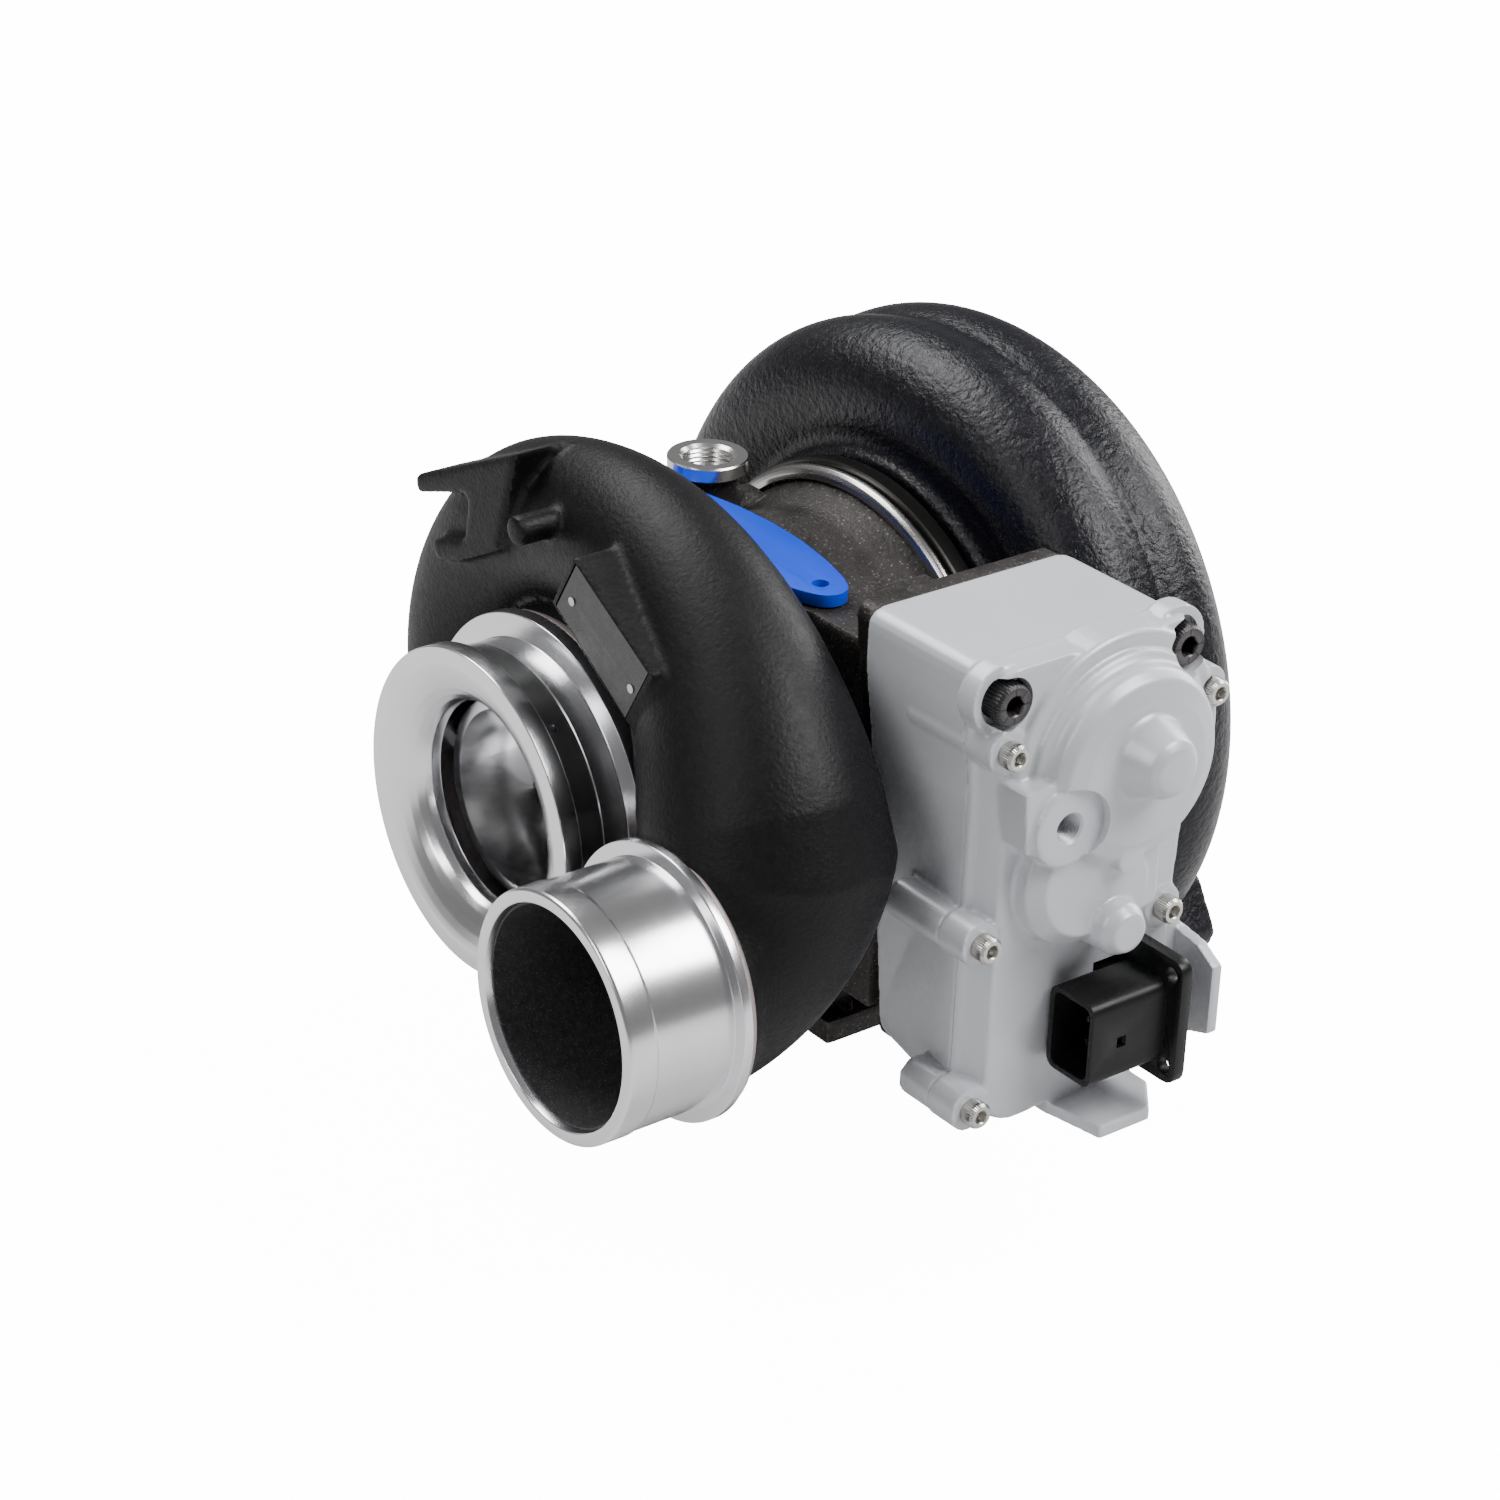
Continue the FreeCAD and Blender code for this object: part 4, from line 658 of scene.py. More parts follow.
# ---------------------------------------------------------------- compressor
@dataclass
class Compressor:
    """Compressor housing: the coated scroll and its machined inlet and outlet."""

    back: float = 76.0
    wall: float = 4.5
    outlet_y: float = -99.0
    outlet_z: float = -12.0
    bend: float = 40.0
    bend_radius: float = 38.0
    pad_x: float = 16.0
    pad: Flat = ((-31.6, 94.2), (-72.6, 71.2), (-60.6, 50.2), (-20.6, 75.2))
    lug: Flat = ((18, 106), (75, 79), (74, 73), (60, 78), (45, 83), (47, 67), (59, 63), (66, 60), (63, 54),
                 (50, 58), (28, 70))
    growth: Flat = ((300, 75, 12, 1.0), (270, 77, 15, 0.95), (225, 80, 18.5, 0.9), (180, 84, 22, 0.86),
                    (135, 81.5, 25, 0.82), (90, 80, 28, 0.8), (45, 89, 33, 0.87), (20, 99, 37.2, 0.97))

    def scroll(self) -> Shell:
        """Scroll and quarter bend as one tube, from the tongue to the outlet."""
        keys = [(angle, self.back - radius * flat, reach, radius, flat)
                for angle, reach, radius, flat in self.growth]
        centres, along, outward = spiral(keys, 120)
        turn = np.radians(np.linspace(6, 90, 18))
        zero = np.zeros_like(turn)
        away = np.stack([np.cos(turn), zero, -np.sin(turn)], axis=1)
        middle = np.array([0, self.outlet_y, self.outlet_z + self.bend])
        radius = np.linspace(self.bend_radius, 36.4, 18)[:, None]
        side = np.stack([zero, -np.ones_like(turn), zero], axis=1)
        return tube(np.concatenate([centres, middle + away * self.bend]),
                    np.concatenate([along, away * radius]), np.concatenate([outward, side * radius]))

    def bore(self) -> Shell:
        """Air passage seen in the outlet: straight, then round the bend."""
        turn = np.radians(np.linspace(90, 25, 16))
        middle = np.array([0, self.outlet_y, self.outlet_z + self.bend])
        zero = np.zeros_like(turn)
        away = np.stack([np.cos(turn), zero, -np.sin(turn)], axis=1)
        start = np.array([[-38.0, self.outlet_y, self.outlet_z]])
        centres = np.concatenate([start, middle + away * self.bend])
        spokes = np.concatenate([away[:1], away])
        across = spokes * 33.5
        upright = np.tile([[0, 33.5, 0]], (len(centres), 1))
        return tube(centres, across, upright)

    def build(self, paints: Paints) -> None:
        """Make the scroll, the inlet and the outlet, and dress them."""
        hub = lathe([(33, 0), (33, 54), (45, 57), (58, 62), (66, 74), (76, 80), (78, 66.5), (86, 65.5),
                     (86, 0)], around=180)
        pad = prism([(self.pad_x, y, z) for y, z in self.pad], (26, 0, 0))
        boss = disc((18, 2, 89), 4.8, 16, Axis.X)
        lug = prism([(30, y, z) for y, z in self.lug], (20, 0, 0))
        neck = disc((2, self.outlet_y, self.outlet_z), 37.6, 8, Axis.X, 96)
        recess = prism([(self.pad_x - 1, y, z) for y, z in inset(self.pad, 1.6)], (2.4, 0, 0))
        throat = lathe([(-5, 0), (-5, 38), (49.5, 38), (49.5, 29), (56, 31), (62, 36), (66, 43.6), (70, 58.05),
                        (90, 58.05), (90, 0)], around=180)
        pins = [disc((self.pad_x, y, z), 1.5, 6, Axis.X, 24) for y, z in ((-31.6, 79.5), (-61.6, 63.2))]
        shell = cast("compressor_scroll", [self.scroll(), hub, pad, boss, lug, neck], 1.35, 5,
                     [throat, self.bore(), recess, *pins])
        paints.put(shell, "powder_coat", "black_coated_casting", "compressor_housing")
        self.inlet(paints)
        self.outlet(paints)

    def inlet(self, paints: Paints) -> None:
        """Polished bell mouth, hose seat and bead, and the rough casting behind them."""
        ring = lathe([(0.0, 47.2), (0.0, 52.9), (6.5, 52.9), (6.5, 50), (16.4, 50), (16.7, 49.7), (25.5, 49.7),
                      (25.5, 57.6), (30.6, 57.6), (30.6, 40), (13, 40), (13, 33.5), (9.5, 33.6), (7.2, 34.8),
                      (5.2, 36.6), (3.4, 39.0), (1.9, 42.0), (0.8, 44.8)], around=240, ease=0.5)
        hole = disc((10.5, -31, 31), 1.0, 30, Axis.Z, 20)
        piece = crisp("compressor_inlet", [ring], cutters=[hole], angle=24)
        paints.put(piece, "polished_inlet", "machined_aluminium")
        rough = lathe([(30.4, 38.2), (30.4, 56.9), (32.6, 57.0), (35.5, 55.4), (35.5, 38.2)], around=160, ease=1.2)
        paints.put(crisp("compressor_inlet_casting", [rough]), "raw_cast_aluminium", "machined_aluminium")

    def outlet(self, paints: Paints) -> None:
        """Polished spigot with its bead, the rough casting ring and the blasted bore."""
        centre = (0, self.outlet_y, self.outlet_z)
        spigot = lathe([(-37, 34.4), (-37, 37.9), (-36.2, 38.6), (-27.4, 38.6), (-27.0, 38.1), (0, 38.1),
                        (0, 42.7), (3.2, 42.7), (3.2, 33.6), (-34.5, 33.6)], centre, around=240, ease=0.5)
        paints.put(crisp("compressor_outlet", [spigot], angle=24), "polished_outlet", "machined_aluminium")
        rough = lathe([(3.0, 34), (3.0, 42.0), (4.8, 41.8), (6.5, 39.5), (6.5, 34)], centre, around=160, ease=1.0)
        paints.put(crisp("compressor_outlet_casting", [rough]), "raw_cast_aluminium", "machined_aluminium")
        liner = lathe([(-34.4, 33.58), (10, 33.58), (10, 33.3), (-34.4, 33.3)], centre, around=160)
        paints.put(crisp("compressor_outlet_bore", [liner]), "blasted_bore", "black_coated_casting")


def inset(corners: Flat, margin: float) -> list[tuple[float, float]]:
    """Corners of a four-sided outline moved towards its middle by 1.5 times the margin."""
    flat = np.array(corners, float)
    middle = flat.mean(axis=0)
    away = flat - middle
    reach = np.linalg.norm(away, axis=1, keepdims=True)
    return [tuple(row) for row in middle + away * (1 - margin * 1.5 / reach)]


# ------------------------------------------------------------ bearing housing
@dataclass
class BearingHousing:
    """Bare iron centre casting, the coolant boss and the oil inlet's blue shipping plug."""

    plate_y: float = -92.0
    pad_top: float = 66.0
    pad_x: float = 99.0
    bolt_half: float = 45.0
    coolant: Point = (121.4, 42.4, 77.0)
    drain: Point = (112.0, -34.0, -88.0)

    def casting(self) -> bpy.types.Object:
        """Drum, actuator plate, neck, pads and ports run together, then bored."""
        drum = lathe([(78, 0), (78, 57.9), (82, 57.9), (84, 54), (90, 54), (98, 66), (104, 68), (134, 68),
                      (141, 70), (145.2, 71), (145.3, 73), (149.9, 73), (149.9, 0)], around=180)
        slab = plate([(80, 84), (156, 84), (156, -62), (98, -70)], self.plate_y, 8, 5)
        neck = block((90, self.plate_y + 4, -56), (138, -48, 65))
        far_boss = block((98, 40, -48), (124, 70, 14))
        pad = block((self.pad_x - 12, -37, 30), (self.pad_x + 15, 37, self.pad_top - 0.6))
        bolt_pads = [disc((self.pad_x, side * self.bolt_half, 30), 10.6, self.pad_top - 30.6, Axis.Z)
                     for side in (-1, 1)]
        x, y, z = self.drain
        drain = block((x - 12, y - 15, z + 3), (x + 12, y + 15, -30))
        foot = block((x - 12, y - 24, z + 0.6), (x + 12, y + 24, z + 9))
        cx, cy, cz = self.coolant
        stem = lathe([(cz - 46, 0), (cz - 46, 10.5), (cz - 12, 9.5), (cz - 8, 9.8), (cz - 4.4, 12), (cz - 4.4, 0)],
                     (cx, cy, 0), Axis.Z)
        rib = block((cx - 8, cy - 4, 40), (cx + 20, cy + 4, 62))
        hollow = lathe([(60, 0), (60, 23), (84.2, 23), (89.7, 17), (89.7, 12.04), (140.3, 12.04), (140.3, 10.7),
                        (200, 10.7), (200, 0)])
        pocket = lathe([(127, 45.5), (127, 66.3), (170, 66.3), (170, 45.5)])
        chamber = [block((100, -62, -46), (121, -21.5, 12)), block((100, 21.5, -46), (121, 62, 12)),
                   block((100, -22, -46), (121, 22, -22))]
        rods = [disc((118, side * 56, 0), 6.5, 12, Axis.X) for side in (-1, 1)]
        tapped = [disc((self.pad_x, side * self.bolt_half, self.pad_top - 16), 4.3, 30, Axis.Z)
                  for side in (-1, 1)]
        outlet = disc((x, y, z - 2), 8.5, 46, Axis.Z)
        feet = [disc((x, y + side * 19, z - 2), 3.3, 14, Axis.Z) for side in (-1, 1)]
        port = disc((cx, cy, cz - 14), 8.6, 20, Axis.Z)
        cross = disc((112, 68, -34), 9, 162, Axis.MINUS_Y)
        seat = block((82, -17.5, self.pad_top - 0.5), (115.6, 17.5, 75))
        return cast("bearing_casting", [drum, slab, neck, far_boss, pad, *bolt_pads, drain, foot, stem, rib],
                    1.3, 5, [hollow, pocket, *chamber, *rods, *tapped, outlet, *feet, port, cross, seat])

    def boss(self) -> bpy.types.Object:
        """Milled coolant boss: a flat ring with a chamfered, threaded hole.

        The thread is a ring profile whose radius goes up and down by 0.55 mm at a 1.5 mm pitch.
        """
        cx, cy, cz = self.coolant
        turns = 9
        level = np.arange(2 * turns + 1) * 0.75
        thread = [(cz - 1.0 - float(drop), 8.1 + (0.55 if index % 2 else 0.0)) for index, drop in enumerate(level)]
        bottom = thread[-1][0]
        outline = [(bottom, 9.0), (cz - 4.8, 9.0), (cz - 4.6, 13.1), (cz - 0.5, 13.3), (cz, 12.9),
                   (cz, 9.3)] + thread
        return crisp("coolant_boss", [lathe(outline, (cx, cy, 0), Axis.Z, 120)], angle=28)

    def plug(self) -> bpy.types.Object:
        """Blue plug: a long diamond with round tips and two pierced, raised eyes."""
        half = [(0, -55), (5, -53), (8.5, -46), (12.4, -32), (15.2, -16), (16, 0), (15.2, 16), (12.4, 32),
                (8.5, 46), (5, 53), (0, 55)]
        outline = half + [(-x, y) for x, y in half[-2:0:-1]]
        flat = eased(outline, 3.0, 4)
        base = np.insert(flat + (self.pad_x, 0), 2, self.pad_top, axis=1)
        eyes = [disc((self.pad_x, side * self.bolt_half, self.pad_top - 1), 2.7, 8, Axis.Z, 40)
                for side in (-1, 1)]
        return crisp("oil_plug", [prism(base, (0, 0, 4))], bevel=1.2, cutters=eyes, angle=50)

    def build(self, paints: Paints) -> None:
        """Make the casting, the boss and the plug, and dress them."""
        paints.put(self.casting(), "bare_cast_iron", "bare_iron", "bearing_housing")
        paints.put(self.boss(), "milled_steel", "bare_iron")
        paints.put(self.plug(), "blue_plastic", "blue_plastic", "oil_inlet_plug")


# -------------------------------------------------------------------- turbine
@dataclass
class Turbine:
    """Twin-entry turbine housing in thick black paint, and the V-band clamp."""

    flange: Point = (189.0, 85.0, -125.0)
    growth: Flat = ((186, 98, 25), (135, 98.5, 23.5), (90, 97.5, 22), (45, 98.5, 21), (0, 97, 20),
                    (-45, 94, 18), (-75, 91, 16))
    lug: Flat = ((-76, -46), (-86, -54), (-95, -69), (-94, -75), (-80, -81), (-62, -72))

    def scroll(self, lobe_x: float, spread: float, thinner: float = 0.0) -> Shell:
        """One scroll, whose centre moves along the shaft as it shrinks."""
        keys = [(angle, lobe_x + spread * (25 - radius), reach, radius, 1.0)
                for angle, reach, radius in self.growth]
        return tube(*spiral(keys, 110, thinner))

    def runner(self, lobe_x: float, port_x: float, thinner: float = 0.0, low: float = -119.0) -> Shell:
        """Gas runner from a scroll's start down to its port in the flange."""
        keys = np.array([(6, lobe_x, 98, 25), (-50, (lobe_x + port_x) / 2, 95, 23), (-100, port_x, 85, 21),
                         (low, port_x, 85, 21)], float)
        level = np.linspace(6, low, 24)
        x, y, radius = smooth_through(keys, level).T
        radius = radius - thinner
        zero = np.zeros_like(level)
        return tube(np.stack([x, y, level], axis=1), np.stack([radius, zero, zero], axis=1),
                    np.stack([zero, radius, zero], axis=1))

    def ridge(self, x: float, reach: float, radius: float, start: float, end: float) -> Shell:
        """Raised cast ridge on the shoulder that faces the actuator, fading at both ends."""
        at = np.linspace(start, end, 40)
        fade = np.sin(np.linspace(0, np.pi, 40)) ** 0.5
        turn = np.radians(at)
        outward = np.stack([np.zeros_like(turn), -np.cos(turn), np.sin(turn)], axis=1)
        centres = outward * (reach - (1 - fade) * 6)[:, None]
        centres[:, 0] = x + (1 - fade) * 6
        along = np.zeros_like(outward)
        along[:, 0] = radius
        return tube(centres, along, outward * radius, 32)

    def build(self, paints: Paints) -> None:
        """Make the housing with its passages, then the clamp."""
        fx, fy, fz = self.flange
        centre = lathe([(150.1, 67.2), (150.1, 73), (154.7, 73), (154.7, 71), (158, 71), (158, 80.5), (161, 80.5),
                        (161, 94), (205, 92), (212, 70), (218, 52), (231, 48), (234, 58), (240, 58), (240, 42),
                        (206, 36), (191, 35.6), (176, 38.4), (171, 40.7), (171, 67.2)], around=180)
        flange = prism(np.insert(eased([(fx - 53, fy - 41), (fx + 53, fy - 41), (fx + 53, fy + 41),
                                        (fx - 53, fy + 41)], 10) , 2, fz + 0.4, axis=1), (0, 0, 12.4))
        lug = prism([(212, y, z) for y, z in self.lug], (21, 0, 0))
        lobes = ((179.0, 0.35, -19), (201.0, -0.15, 19))
        shells = [centre, flange, lug]
        passages = []
        for lobe_x, spread, offset in lobes:
            shells += [self.scroll(lobe_x, spread), self.runner(lobe_x, fx + offset)]
            passages += [self.runner(lobe_x, fx + offset, 5.0, -128.0)]
        shells += [self.ridge(166.0, 97, 5.6, -8, 84), self.ridge(166.5, 110, 4.4, -8, 66)]
        pocket = lathe([(149, 0), (149, 67.2), (188, 66.7), (188, 45), (192, 35.7), (206, 36.1), (241, 42.1),
                        (241, 0)])
        bolts = [disc((fx + a * 42, fy + b * 30, fz - 2), 5.4, 20, Axis.Z) for a in (-1, 1) for b in (-1, 1)]
        eye = disc((208, -81, -71), 4.2, 30, Axis.X)
        shell = cast("turbine_casting", shells, 1.55, 6, [pocket, *passages, *bolts, eye])
        paints.put(shell, "painted_cast_iron", "painted_iron", "turbine_housing")
        self.clamp(paints)

    def clamp(self, paints: Paints) -> None:
        """V-band: a bright rolled bead and a dark flat band, split under the shaft, with lugs."""
        bead = lathe([(144.7, 73.6), (144.7, 75.4), (145.2, 76.9), (146.3, 77.9), (147.6, 78.1), (148.8, 77.4),
                      (149.4, 76.2), (149.4, 73.6)], around=240, ease=0.3)
        gap = block((140, -6, -92), (160, 6, -60))
        paints.put(crisp("clamp_bead", [bead], cutters=[gap], angle=40), "clamp_steel", "dark_steel")
        band = lathe([(149.5, 73.6), (149.5, 78.9), (150.0, 79.5), (155.0, 79.5), (155.4, 79.0), (155.4, 73.6)],
                     around=240)
        ears = [block((146, side * 8 - 3, -96), (154, side * 8 + 3, -76)) for side in (-1, 1)]
        piece = crisp("clamp_band", [band], cutters=[gap])
        paints.put(piece, "clamp_dark", "dark_steel", "v_band_clamp")
        paints.put(crisp("clamp_lugs", ears, bevel=0.8), "clamp_dark", "dark_steel")


# ------------------------------------------------------------------- actuator
@dataclass
class Actuator:
    """Electric actuator: die-cast body and cover, the connector and its fasteners."""

    back: float = -93.0
    split: float = -138.0
    front: float = -149.0
    left: float = 81.0
    right: float = 160.5
    top: float = 85.0
    low: float = -67.0
    wall: float = 3.5
    seat: float = -143.0
    motor: tuple[float, float] = (128.0, 48.1)
    port: tuple[float, float] = (100.0, 36.5)
    screws: Flat = ((85, 60), (163, 60), (79.5, -1), (152, -10), (79.5, -57), (152, -55))
    bolts: Flat = ((85.5, 75), (152.5, 76.5), (150, -38))

    def outline(self, y: float, margin: float = 0.0) -> np.ndarray:
        """Side outline at a depth: the left edge leans in towards both the front and the back.

        The left edge is left + 5 * (front - y) / (front - split) ahead of the joint, and left + lean
        behind it, where lean goes from 0 to 10 mm at the back.
        """
        taper = 5 * min(1.0, max(0.0, (self.split - y) / (self.split - self.front)))
        lean = 10 * max(0.0, (y - self.split) / (self.back - self.split))
        left, right = self.left + taper + margin, self.right - margin
        top, low = self.top - margin, self.low + margin
        return np.array([(left - 3, top), (right - 4, top), (right, 52), (right - 4, -4), (right - 8, low + 4),
                         (left + lean + 9, low), (left + lean, low + 6), (left, 46), (left - 3, 66)], float)

    def shell(self, back: float, front: float, margin: float, ease: float = 6.0) -> Shell:
        """Outline carried from one depth to another: point = outline(y) with y going straight."""
        rows = [np.insert(eased(self.outline(y, margin), ease), 1, y, axis=1) for y in (back, front)]
        return grid_shell(np.stack(rows), caps=True)

    def turned(self, outline: Flat, x: float, z: float, around: int = 72) -> Shell:
        """Boss turned about a line along -Y through (x, z), from (depth, radius) corners."""
        return lathe([(outline[0][0], 0), *outline, (outline[-1][0], 0)], (x, 0, z), Axis.MINUS_Y, around)

    def body(self) -> bpy.types.Object:
        """Die-cast box with bolt columns and screw posts, hollow for the gears."""
        columns = [disc((x, self.back, z), 7.5, self.back - self.split - 0.1, Axis.MINUS_Y) for x, z in self.bolts]
        posts = []
        for index, (x, z) in enumerate(self.screws):
            reach = 25 if index in (0, 2) else 14
            posts.append(disc((x, self.split + reach, z), 6.6, reach - 0.1, Axis.MINUS_Y))
            if x < self.left + 4:
                posts.append(block((x, self.split + 0.1, z - 4.6), (88, self.split + reach, z + 4.6)))
        room = self.shell(self.back - self.wall, self.split - 1, self.wall, 3.0)
        outside = self.shell(self.back, self.split + 0.1, 0)
        return cast("actuator_body", [outside, *columns, *posts], 0.8, 2, [room])

    def cover(self) -> bpy.types.Object:
        """Die-cast cover: motor dome, tapered boss, coolant port boss, lower lobe and wings."""
        mx, mz = self.motor
        px, pz = self.port
        slab = self.shell(self.split, self.front, 0)
        dome = self.turned([(138.5, 34.6), (153.6, 34.2), (155.4, 31.6), (159.4, 30.8), (162.4, 28.4),
                            (164.2, 23), (165, 14)], mx - 1.5, mz)
        step = self.turned([(138.5, 40), (150.4, 39.6), (151.6, 38.2)], mx - 1.0, mz)
        tip = self.turned([(155, 18), (162, 15.5), (166, 12.6), (172, 10.6), (175.6, 9.2), (177.4, 6.8),
                           (178, 3.5)], 126, 54)
        port = self.turned([(140, 13.6), (150, 13.2), (161.8, 12.4)], px, pz)
        neck = plate([(84.5, pz + 13.5), (px + 4, pz + 15.5), (px + 6, pz - 10), (86, pz - 6)], -159.5, 14, 1.5)
        band = plate([(113, 44), (141, 40), (142, -2), (116, -6)], -157.5, 12, 4)
        lower = self.turned([(140, 23.4), (154, 22.4), (158.6, 18)], 114, 14)
        lobe = self.turned([(140, 17), (154, 16), (158.4, 12)], 124, 8)
        peg = self.turned([(140, 10), (163, 8.4), (166.8, 6)], 123, -3)
        bump = self.turned([(150, 5.4), (163.6, 4.6)], 124, 20)
        pads = [disc((x, self.split, z), 7, 12, Axis.MINUS_Y) for x, z in self.screws]
        pads += [block((x, self.front + 1, z - 5), (92, self.split, z + 5)) for x, z in self.screws if x < 90]
        ears = [disc((x, self.split, z), 11, 7.6, Axis.MINUS_Y) for x, z in self.bolts[:2]]
        wing = prism([(112, -146, -71), (116, -168, -71), (136, -168, -71), (146, -156, -71), (146, -140, -71)],
                     (0, 0, 4.6))
        side = prism([(159.8, -139, -19), (159.8, -158, -22), (159.8, -166, -27), (159.8, -166, -50),
                      (159.8, -142, -58)], (4, 0, 0))
        web = block((150, -148, -56), (162, -139, -16))
        low_web = block((112, -148, -71), (146, -139, -60))
        rim = self.shell(self.split - 0.3, self.split - 2.4, -0.5)
        motor_room = self.turned([(130, 24.4), (160, 24.4)], mx, mz)
        room = self.shell(self.split + 1, self.front + self.wall, self.wall + 3, 3.0)
        seats = [disc((x, self.front - 1.1, z), 4.7, 9, Axis.MINUS_Y) for x, z in self.screws]
        shanks = [disc((x, self.split + 1, z), 2.75, 16, Axis.MINUS_Y) for x, z in self.screws]
        wells = [disc((x, self.seat, z), 8.2, 24, Axis.MINUS_Y) for x, z in self.bolts]
        holes = [disc((x, self.split + 1, z), 4.25, 16, Axis.MINUS_Y) for x, z in self.bolts]
        turns = [(145 + 0.5 * count, 4.9 if count % 2 else 4.4) for count in range(1, 34)]
        thread = self.turned([(145, 4.0), *turns, (162, 5.4), (168, 5.4)], px, pz, 40)
        face = self.turned([(161.8, 13), (170, 13)], px, pz)
        window = block((126, -150.4, -50), (146, -144, -22))
        solids = [slab, rim, dome, step, tip, port, neck, band, lower, lobe, peg, bump, *pads, *ears,
                  wing, side, web, low_web]
        cutters = [room, motor_room, *seats, *shanks, *wells, *holes, face, thread, window]
        return cast("actuator_cover_cast", solids, 0.72, 2, cutters)

    def connector(self) -> bpy.types.Object:
        """Socket housing with a flange, a neck and a keying window, opening towards -X."""
        def upright(corners: Flat, x: float, depth: float, ease: float) -> Shell:
            """Rounded plate in the y-z plane at x, swept by depth along +x."""
            return prism(np.insert(eased(corners, ease), 0, x, axis=1), (depth, 0, 0))

        hood = upright([(-170, -50), (-150.5, -50), (-150.5, -22), (-170, -22)], 108, 30, 4)
        flange = upright([(-176, -56), (-149.6, -56), (-149.6, -14), (-176, -14)], 137, 4, 5)
        neck = block((128, -151, -48), (140, -130, -24))
        mouth = upright([(-168.2, -48.2), (-152.4, -48.2), (-152.4, -23.8), (-168.2, -23.8)], 107, 23, 3)
        ear_holes = [disc((130, -171, z), 2.7, 16, Axis.X, 32) for z in (-19.5, -50.5)]
        window = block((118, -174, -38.8), (121.5, -168, -35.2))
        piece = new_object("socket_housing", [hood])
        for number, shell in enumerate((flange, neck)):
            extra = new_object(f"socket_extra_{number}", [shell])
            modifier = piece.modifiers.new("join", "BOOLEAN")
            modifier.operation = "UNION"
            modifier.solver = "MANIFOLD"
            modifier.object = extra
        settle(piece)
        for number in range(2):
            bpy.data.objects.remove(bpy.data.objects[f"socket_extra_{number}"])
        cut(piece, [mouth, *ear_holes, window])
        bevel = piece.modifiers.new("bevel", "BEVEL")
        bevel.width = 0.4 * MM
        bevel.segments = 2
        bevel.limit_method = "ANGLE"
        bevel.angle_limit = math.radians(50)
        return settle(piece, 40)

    def screw(self, name: str, x: float, z: float, seat: float, radius: float, height: float,
              socket: float) -> bpy.types.Object:
        """Socket head screw: a chamfered, finely knurled head with a six-sided recess.

        The knurl is the head's radius raised by 0.12 mm times the cosine of 36 turns.
        """
        head = [(seat, 0), (seat, radius - 0.2), (seat + 0.3, radius), (seat + height - 0.9, radius),
                (seat + height, radius - 0.8), (seat + height, 0)]
        shell = lathe(head, (x, 0, z), Axis.MINUS_Y, 144)
        side = shell.points - np.array([x, 0, z])
        turn = np.arctan2(side[:, 2], side[:, 0])
        reach = np.hypot(side[:, 0], side[:, 2])
        grip = np.where(reach > radius - 0.05, 1 + 0.12 * (np.cos(36 * turn) - 1) / radius, 1.0)
        shell.points[:, 0] = x + side[:, 0] * grip
        shell.points[:, 2] = z + side[:, 2] * grip
        recess = hexagon(x, -seat - height - 0.5, z, socket, height * 0.55 + 0.5)
        top = seat + height
        dimple = self.turned([(top - 0.5, socket * 0.86), (top + 0.4, socket * 1.14)], x, z, 48)
        return crisp(name, [shell], cutters=[recess, dimple], angle=28)

    def build(self, paints: Paints) -> None:
        """Make the body, cover, connector and fasteners, and dress them."""
        paints.put(self.body(), "grey_paint", "grey_paint", "actuator_housing")
        paints.put(self.cover(), "grey_paint", "grey_paint", "actuator_cover")
        paints.put(self.connector(), "black_plastic", "black_plastic", "connector")
        for index, (x, z) in enumerate(self.bolts):
            piece = self.screw(f"actuator_bolt_{index + 1}", x, z, -self.seat, 6.5, 8, 3.4)
            paints.put(piece, "black_oxide", "black_oxide", *(["actuator_bolts"] if index == 0 else []))
        for index, (x, z) in enumerate(self.screws):
            piece = self.screw(f"cover_screw_{index + 1}", x, z, -self.front + 1.1, 4.25, 5, 2.3)
            paints.put(piece, "zinc_steel", "zinc_steel", *(["cover_screws"] if index == 0 else []))


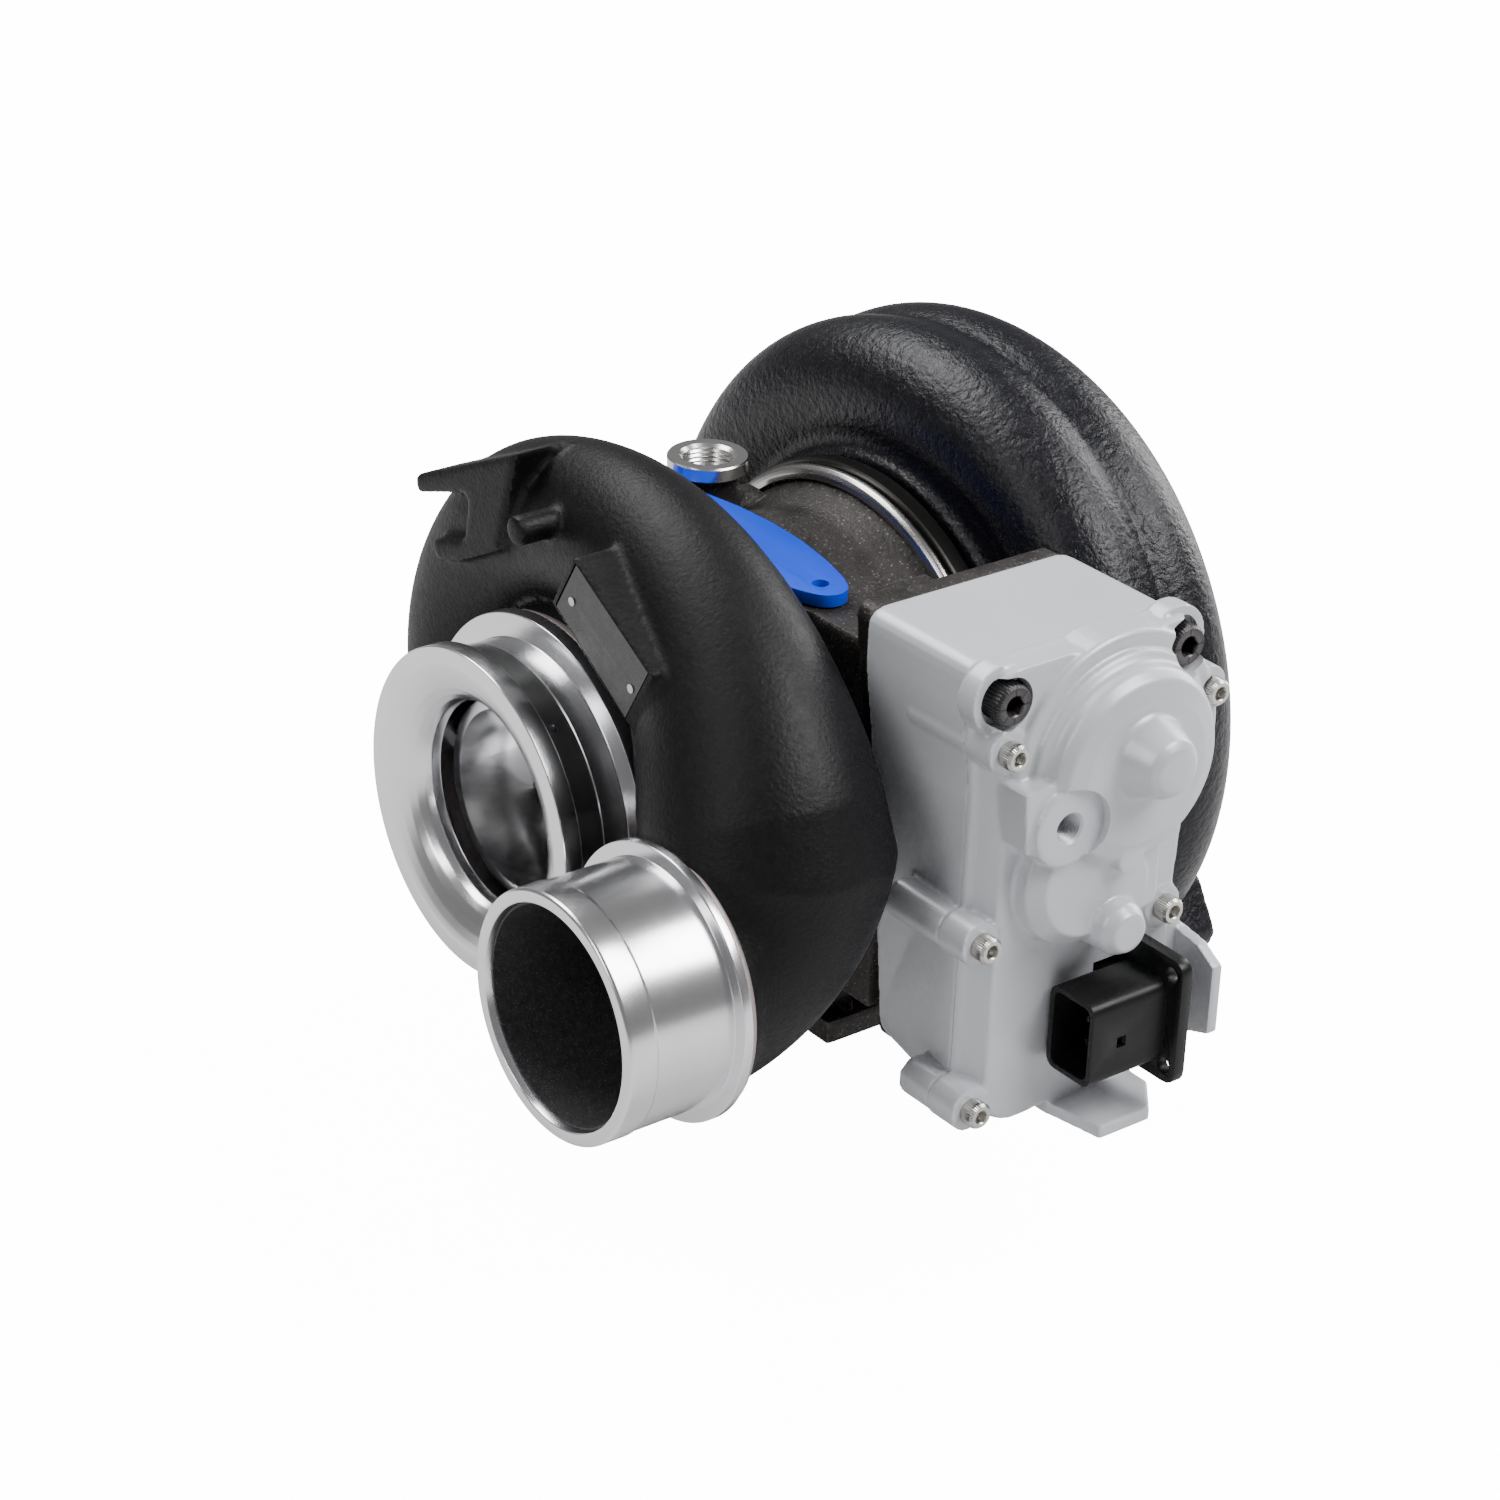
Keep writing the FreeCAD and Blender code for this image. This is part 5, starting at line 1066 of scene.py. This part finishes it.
# --------------------------------------------------------------------- studio
@dataclass
class Studio:
    """Camera, pale floor and soft rectangular lights."""

    eye: Point = (-603.86, -903.96, 567.89)
    lens: float = 96.0
    air: float = 0.20
    floor_glow: float = 14.0

    def camera(self) -> None:
        """Camera with a 96 mm lens on a 36 mm sensor, at the eye point."""
        data = bpy.data.cameras.new("view")
        data.lens = self.lens
        data.sensor_width = 36.0
        data.clip_start, data.clip_end = 0.05, 50.0
        right = (0.79466, -0.60615, 0.03304)
        down = (-0.24810, -0.37397, -0.89364)
        ahead = (0.55404, 0.70194, -0.44757)
        camera = bpy.data.objects.new("view", data)
        turn = Matrix([[right[i], -down[i], -ahead[i]] for i in range(3)]).to_4x4()
        turn.translation = [value * MM for value in self.eye]
        camera.matrix_world = turn
        bpy.context.scene.collection.objects.link(camera)
        bpy.context.scene.camera = camera

    def floor(self) -> None:
        """Wide pale floor just under the object's lowest point."""
        level = (CAD_BOX[0].z - 0.0005) / MM
        piece = new_object("studio_floor", [block((-4000, -4000, level - 5), (4000, 4000, level))])
        paint = bpy.data.materials.new("studio_white")
        paint.use_nodes = True
        nodes, links = paint.node_tree.nodes, paint.node_tree.links
        shader = nodes["Principled BSDF"]
        shader.inputs["Base Color"].default_value = (0.62, 0.62, 0.62, 1)
        shader.inputs["Roughness"].default_value = 0.9
        shader.inputs["Specular IOR Level"].default_value = 0.1
        path = nodes.new("ShaderNodeLightPath")
        glow = nodes.new("ShaderNodeMath")
        glow.operation = "MULTIPLY"
        glow.inputs[1].default_value = self.floor_glow
        links.new(path.outputs["Is Camera Ray"], glow.inputs[0])
        shader.inputs["Emission Color"].default_value = (1, 1, 1, 1)
        links.new(glow.outputs[0], shader.inputs["Emission Strength"])
        piece.data.materials.append(paint)

    def light(self, name: str, place: Point, target: Point, size: tuple[float, float], power: float) -> None:
        """Rectangular soft light at a place, turned to the target, in metres and watts."""
        data = bpy.data.lights.new(name, "AREA")
        data.shape = "RECTANGLE"
        data.size, data.size_y = size
        data.energy = power
        lamp = bpy.data.objects.new(name, data)
        back = np.array(place, float) - np.array(target, float)
        back /= np.linalg.norm(back)
        right = np.cross((0, 0, 1), back)
        right /= np.linalg.norm(right)
        up = np.cross(back, right)
        turn = Matrix([[right[i], up[i], back[i]] for i in range(3)]).to_4x4()
        turn.translation = place
        lamp.matrix_world = turn
        bpy.context.scene.collection.objects.link(lamp)

    def build(self) -> None:
        """Set the whole studio."""
        self.camera()
        self.floor()
        world = bpy.data.worlds.new("studio_air")
        world.use_nodes = True
        world.node_tree.nodes["Background"].inputs["Color"].default_value = (1, 1, 1, 1)
        world.node_tree.nodes["Background"].inputs["Strength"].default_value = self.air
        bpy.context.scene.world = world
        middle = (0.09, 0.0, 0.0)
        self.light("key_right", (0.8, -1.1, 1.5), middle, (1.0, 1.0), 46)
        self.light("top_back", (-0.1, 0.9, 1.4), middle, (1.4, 0.8), 32)
        self.light("left_front", (-1.3, -0.2, 0.9), middle, (0.35, 1.0), 7)
        self.light("rim_right", (1.4, 0.1, 0.5), middle, (0.5, 1.0), 14)


def main() -> None:
    """Build every sub-assembly in order, then the studio."""
    logging.basicConfig(level=logging.INFO, format="%(name)s: %(message)s")
    Studio().build()
    paints = Paints()
    paints.dress_frame()
    for part in (Compressor(), BearingHousing(), Turbine(), Actuator()):
        part.build(paints)
        LOG.info("%s done", type(part).__name__)


if __name__ == "__main__":
    main()
